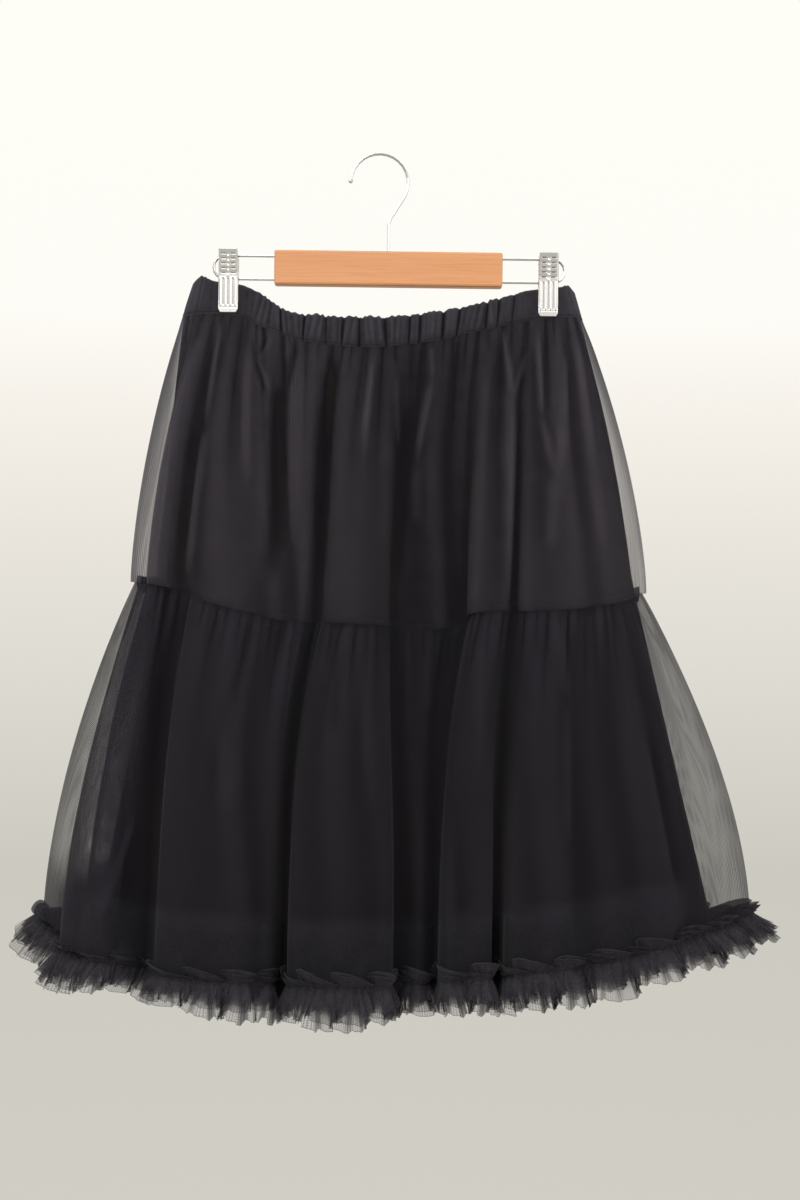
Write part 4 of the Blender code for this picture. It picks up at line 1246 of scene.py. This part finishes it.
# Painted shading of the clip: darker in its pressed slots, panel and teeth and on its inner side, lighter on
# its raised beads and flutes
JAW_BASE_SHADING = 0.85
JAW_RELIEF_SHADING = 0.9
JAW_INNER_SHADING = 0.8


def jaw_relief(across, z):
    """How far the pressed pattern stands out of a jaw: slots above, flutes below, teeth at the lip."""
    relief = np.zeros(np.broadcast(across, z).shape)
    sideways = np.abs(across)
    in_slot = step_between(sideways, SLOT_INNER, SLOT_INNER + SLOT_SOFTNESS)
    in_slot *= 1 - step_between(sideways, SLOT_OUTER, SLOT_OUTER + SLOT_SOFTNESS)
    for slot in range(SLOT_COUNT):
        away = (z - SLOT_FIRST_Z + SLOT_PITCH * slot) / SLOT_HALF_HEIGHT
        relief -= SLOT_DEPTH * in_slot * np.exp(-(away**4))
        bead = (away + SLOT_PITCH / 2 / SLOT_HALF_HEIGHT) / BEAD_LENGTH
        relief += BEAD_HEIGHT * np.exp(-((across / BEAD_HALF_WIDTH) ** 2)) * np.exp(-(bead**2))
    along_flute = step_between(z, FLUTE_LOW_Z - FLUTE_SOFTNESS, FLUTE_LOW_Z + FLUTE_SOFTNESS)
    along_flute *= 1 - step_between(z, FLUTE_TOP_Z - FLUTE_SOFTNESS, FLUTE_TOP_Z + FLUTE_SOFTNESS)
    relief -= PANEL_DEPTH * along_flute * (sideways < PANEL_HALF_WIDTH)
    for flute in FLUTES:
        relief += FLUTE_HEIGHT * along_flute * np.exp(-(((across - flute) / FLUTE_HALF_WIDTH) ** 2))
    teeth = 0.5 + 0.5 * np.cos(2 * math.pi * across / TEETH_PITCH)
    at_lip = np.exp(-(((z - TEETH_Z) / TEETH_HALF_HEIGHT) ** 2)) * (sideways < JAW_HALF_LOW - TEETH_MARGIN)
    relief -= TEETH_DEPTH * teeth * at_lip
    return relief


def make_jaw(name, finish):
    """A detailed jaw over the plain one of the frame: same place, same sheet."""
    low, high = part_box(name)
    middle_x = (low[0] + high[0]) / 2 / MM
    side = -1 if low[1] + high[1] < 0 else 1
    z = np.arange(JAW_PROFILE[0].z, JAW_PROFILE[-1].z - JAW_STEP / 2, -JAW_STEP)
    row_z = np.array([row.z for row in JAW_PROFILE])
    out = np.interp(-z, -row_z, [row.out for row in JAW_PROFILE])
    half = np.interp(-z, (-row_z[0], -row_z[-1]), (JAW_HALF_TOP, JAW_HALF_LOW))
    half -= JAW_CORNER_CUT * step_between(-z, -JAW_CORNER_Z, -row_z[-1])
    shares = np.linspace(-1, 1, round(2 * JAW_HALF_LOW / JAW_STEP) + 1)
    across = half[:, None] * shares
    tall = z[:, None] + 0 * across
    bend = JAW_EDGE_BEND * step_between(np.abs(shares), JAW_BEND_START, 1.0)
    relief = jaw_relief(across, tall)
    outer = out[:, None] + JAW_SHEET / 2 + relief - bend
    inner = out[:, None] - JAW_SHEET / 2 - bend
    front = np.stack([middle_x + across, side * outer, tall], -1)
    back = np.stack([middle_x + across, side * inner, tall], -1)[:, ::-1]
    points = np.concatenate([front, back], 1)
    if side > 0:
        points = points[:, ::-1]
    middle = (points + points[:, ::-1]) / 2
    points = np.concatenate([middle[:1], points, middle[-1:]])
    # Painted shading from the pressed relief, and a darker inner side
    painted_shading = np.concatenate([JAW_BASE_SHADING + JAW_RELIEF_SHADING * relief, np.full(relief.shape, JAW_INNER_SHADING)], 1)
    if side > 0:
        painted_shading = painted_shading[:, ::-1]
    painted_shading = np.clip(np.concatenate([painted_shading[:1], painted_shading, painted_shading[-1:]]), 0, 1)
    return cloth_mesh(name + "_pressed", points, {"painted_shading": painted_shading}, finish)


def stage_and_light():
    world = bpy.data.worlds.new("Pale room")
    bpy.context.scene.world = world
    world.use_nodes = True
    tree = world.node_tree
    back = tree.nodes["Background"]
    coordinate = tree.nodes.new("ShaderNodeTexCoord")
    parts = tree.nodes.new("ShaderNodeSeparateXYZ")
    ramp = tree.nodes.new("ShaderNodeValToRGB")
    tree.links.new(coordinate.outputs["Generated"], parts.inputs[0])
    spread = tree.nodes.new("ShaderNodeMapRange")
    spread.inputs["From Min"].default_value = -WALL_REACH
    spread.inputs["From Max"].default_value = WALL_REACH
    tree.links.new(parts.outputs["Z"], spread.inputs["Value"])
    tree.links.new(spread.outputs[0], ramp.inputs["Fac"])
    for place, colour in WALL_TONES:
        ends = ramp.color_ramp.elements
        stop = ends[0] if place == 0 else ends[-1] if place == 1 else ends.new(place)
        stop.color = linear(*colour)
    tree.links.new(ramp.outputs["Color"], back.inputs["Color"])

    floor_mesh = bpy.data.meshes.new("floor")
    build = bmesh.new()
    bmesh.ops.create_circle(build, cap_ends=True, segments=64, radius=7.0)
    build.to_mesh(floor_mesh)
    build.free()
    floor = bpy.data.objects.new("floor", floor_mesh)
    floor.location = (0, 0, -3.6)
    bpy.context.scene.collection.objects.link(floor)
    paint = Finish("Pale floor").set(Roughness=0.9)
    clouds = paint.noise(paint.place(), 3.0)
    paint.feed("Base Color", paint.mix(clouds, (0.56, 0.55, 0.51, 1), (0.60, 0.59, 0.55, 1)))
    floor.data.materials.append(paint.material)

    for name, place, aim, size, power in (
        ("Key", (-1.1, -2.2, 1.6), (0, 0, -0.45), 2.2, 60.0),
        ("Fill", (1.9, -2.0, 0.2), (0, 0, -0.45), 2.0, 18.0),
        ("Back", (0.4, 2.4, 1.2), (0, 0, -0.45), 2.0, 30.0),
    ):
        data = bpy.data.lights.new(name, "AREA")
        data.size = size
        data.energy = power
        light = bpy.data.objects.new(name, data)
        light.location = place
        light.rotation_euler = (Vector(aim) - Vector(place)).to_track_quat("-Z", "Y").to_euler()
        bpy.context.scene.collection.objects.link(light)


def make_camera():
    data = bpy.data.cameras.new("Camera")
    data.sensor_width = LONG_SIDE_SENSOR
    data.lens = LENS
    camera = bpy.data.objects.new("Camera", data)
    camera.location = CAMERA_PLACE
    camera.rotation_euler = (math.radians(90), math.radians(-CAMERA_ROLL), 0)
    bpy.context.scene.collection.objects.link(camera)
    bpy.context.scene.camera = camera


NET_DARK = (0.0095, 0.0088, 0.0112, 1)
NET_EDGE = (0.012, 0.012, 0.014, 1)


def main():
    bpy.context.scene.view_settings.view_transform = "Standard"
    make_camera()
    stage_and_light()

    # Dark and light ends of each net's painted shading, then the colour of its dense folds
    net_upper = net_finish("Upper net", 0.40, NET_DARK, (0.054, 0.0485, 0.060, 1), NET_EDGE)
    net_lower = net_finish("Lower net", 0.44, NET_DARK, (0.025, 0.0228, 0.0295, 1), NET_EDGE)
    net_ruffle = net_finish("Ruffle net", 0.30, NET_DARK, (0.046, 0.042, 0.051, 1), (0.014, 0.013, 0.014, 1))
    cloth = casing_finish()

    upper, lower, ring_lower, lower_points = make_tiers(net_upper, net_lower)
    seam = make_seam(ring_lower, net_lower)
    lining = make_lining(lining_finish())
    casing, casing_stitches = make_casing(cloth)
    plies = [make_ruffle(ply, lower_points[-1], net_ruffle) for ply in RUFFLE_PLIES]
    clip = metal_finish("Chromed clip", (0.80, 0.79, 0.78, 1), 0.16, groove_shade=True)
    jaws = {name: make_jaw(name, clip) for name in NODES if "_jaw_" in name}

    slots = [(upper, "net"), (lower, "net"), (seam, "net"), (lining, "lining"), (casing, "casing")]
    slots += [(casing_stitches, "casing")] + [(ply, "ruffle") for ply in plies]
    slots += [(jaw, "clip") for jaw in jaws.values()]
    for piece, slot in slots:
        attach(piece, ROOT)
    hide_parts("upper_tier_front", "upper_tier_back")
    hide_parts("lower_tier_front", "lower_tier_back")
    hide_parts("lining_front", "lining_back")
    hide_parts("waistband_front", "waistband_back")
    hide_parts("hem_ruffle_front", "hem_ruffle_back")
    for name, jaw in jaws.items():
        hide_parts(name)

    wood = wood_finish()
    chrome = metal_finish("Bright wire", (0.58, 0.58, 0.57, 1), 0.15)
    for name, node in NODES.items():
        if not node.hide_render:
            node.data.materials.clear()
            node.data.materials.append(wood if name == "hanger_bar" else chrome)


main()
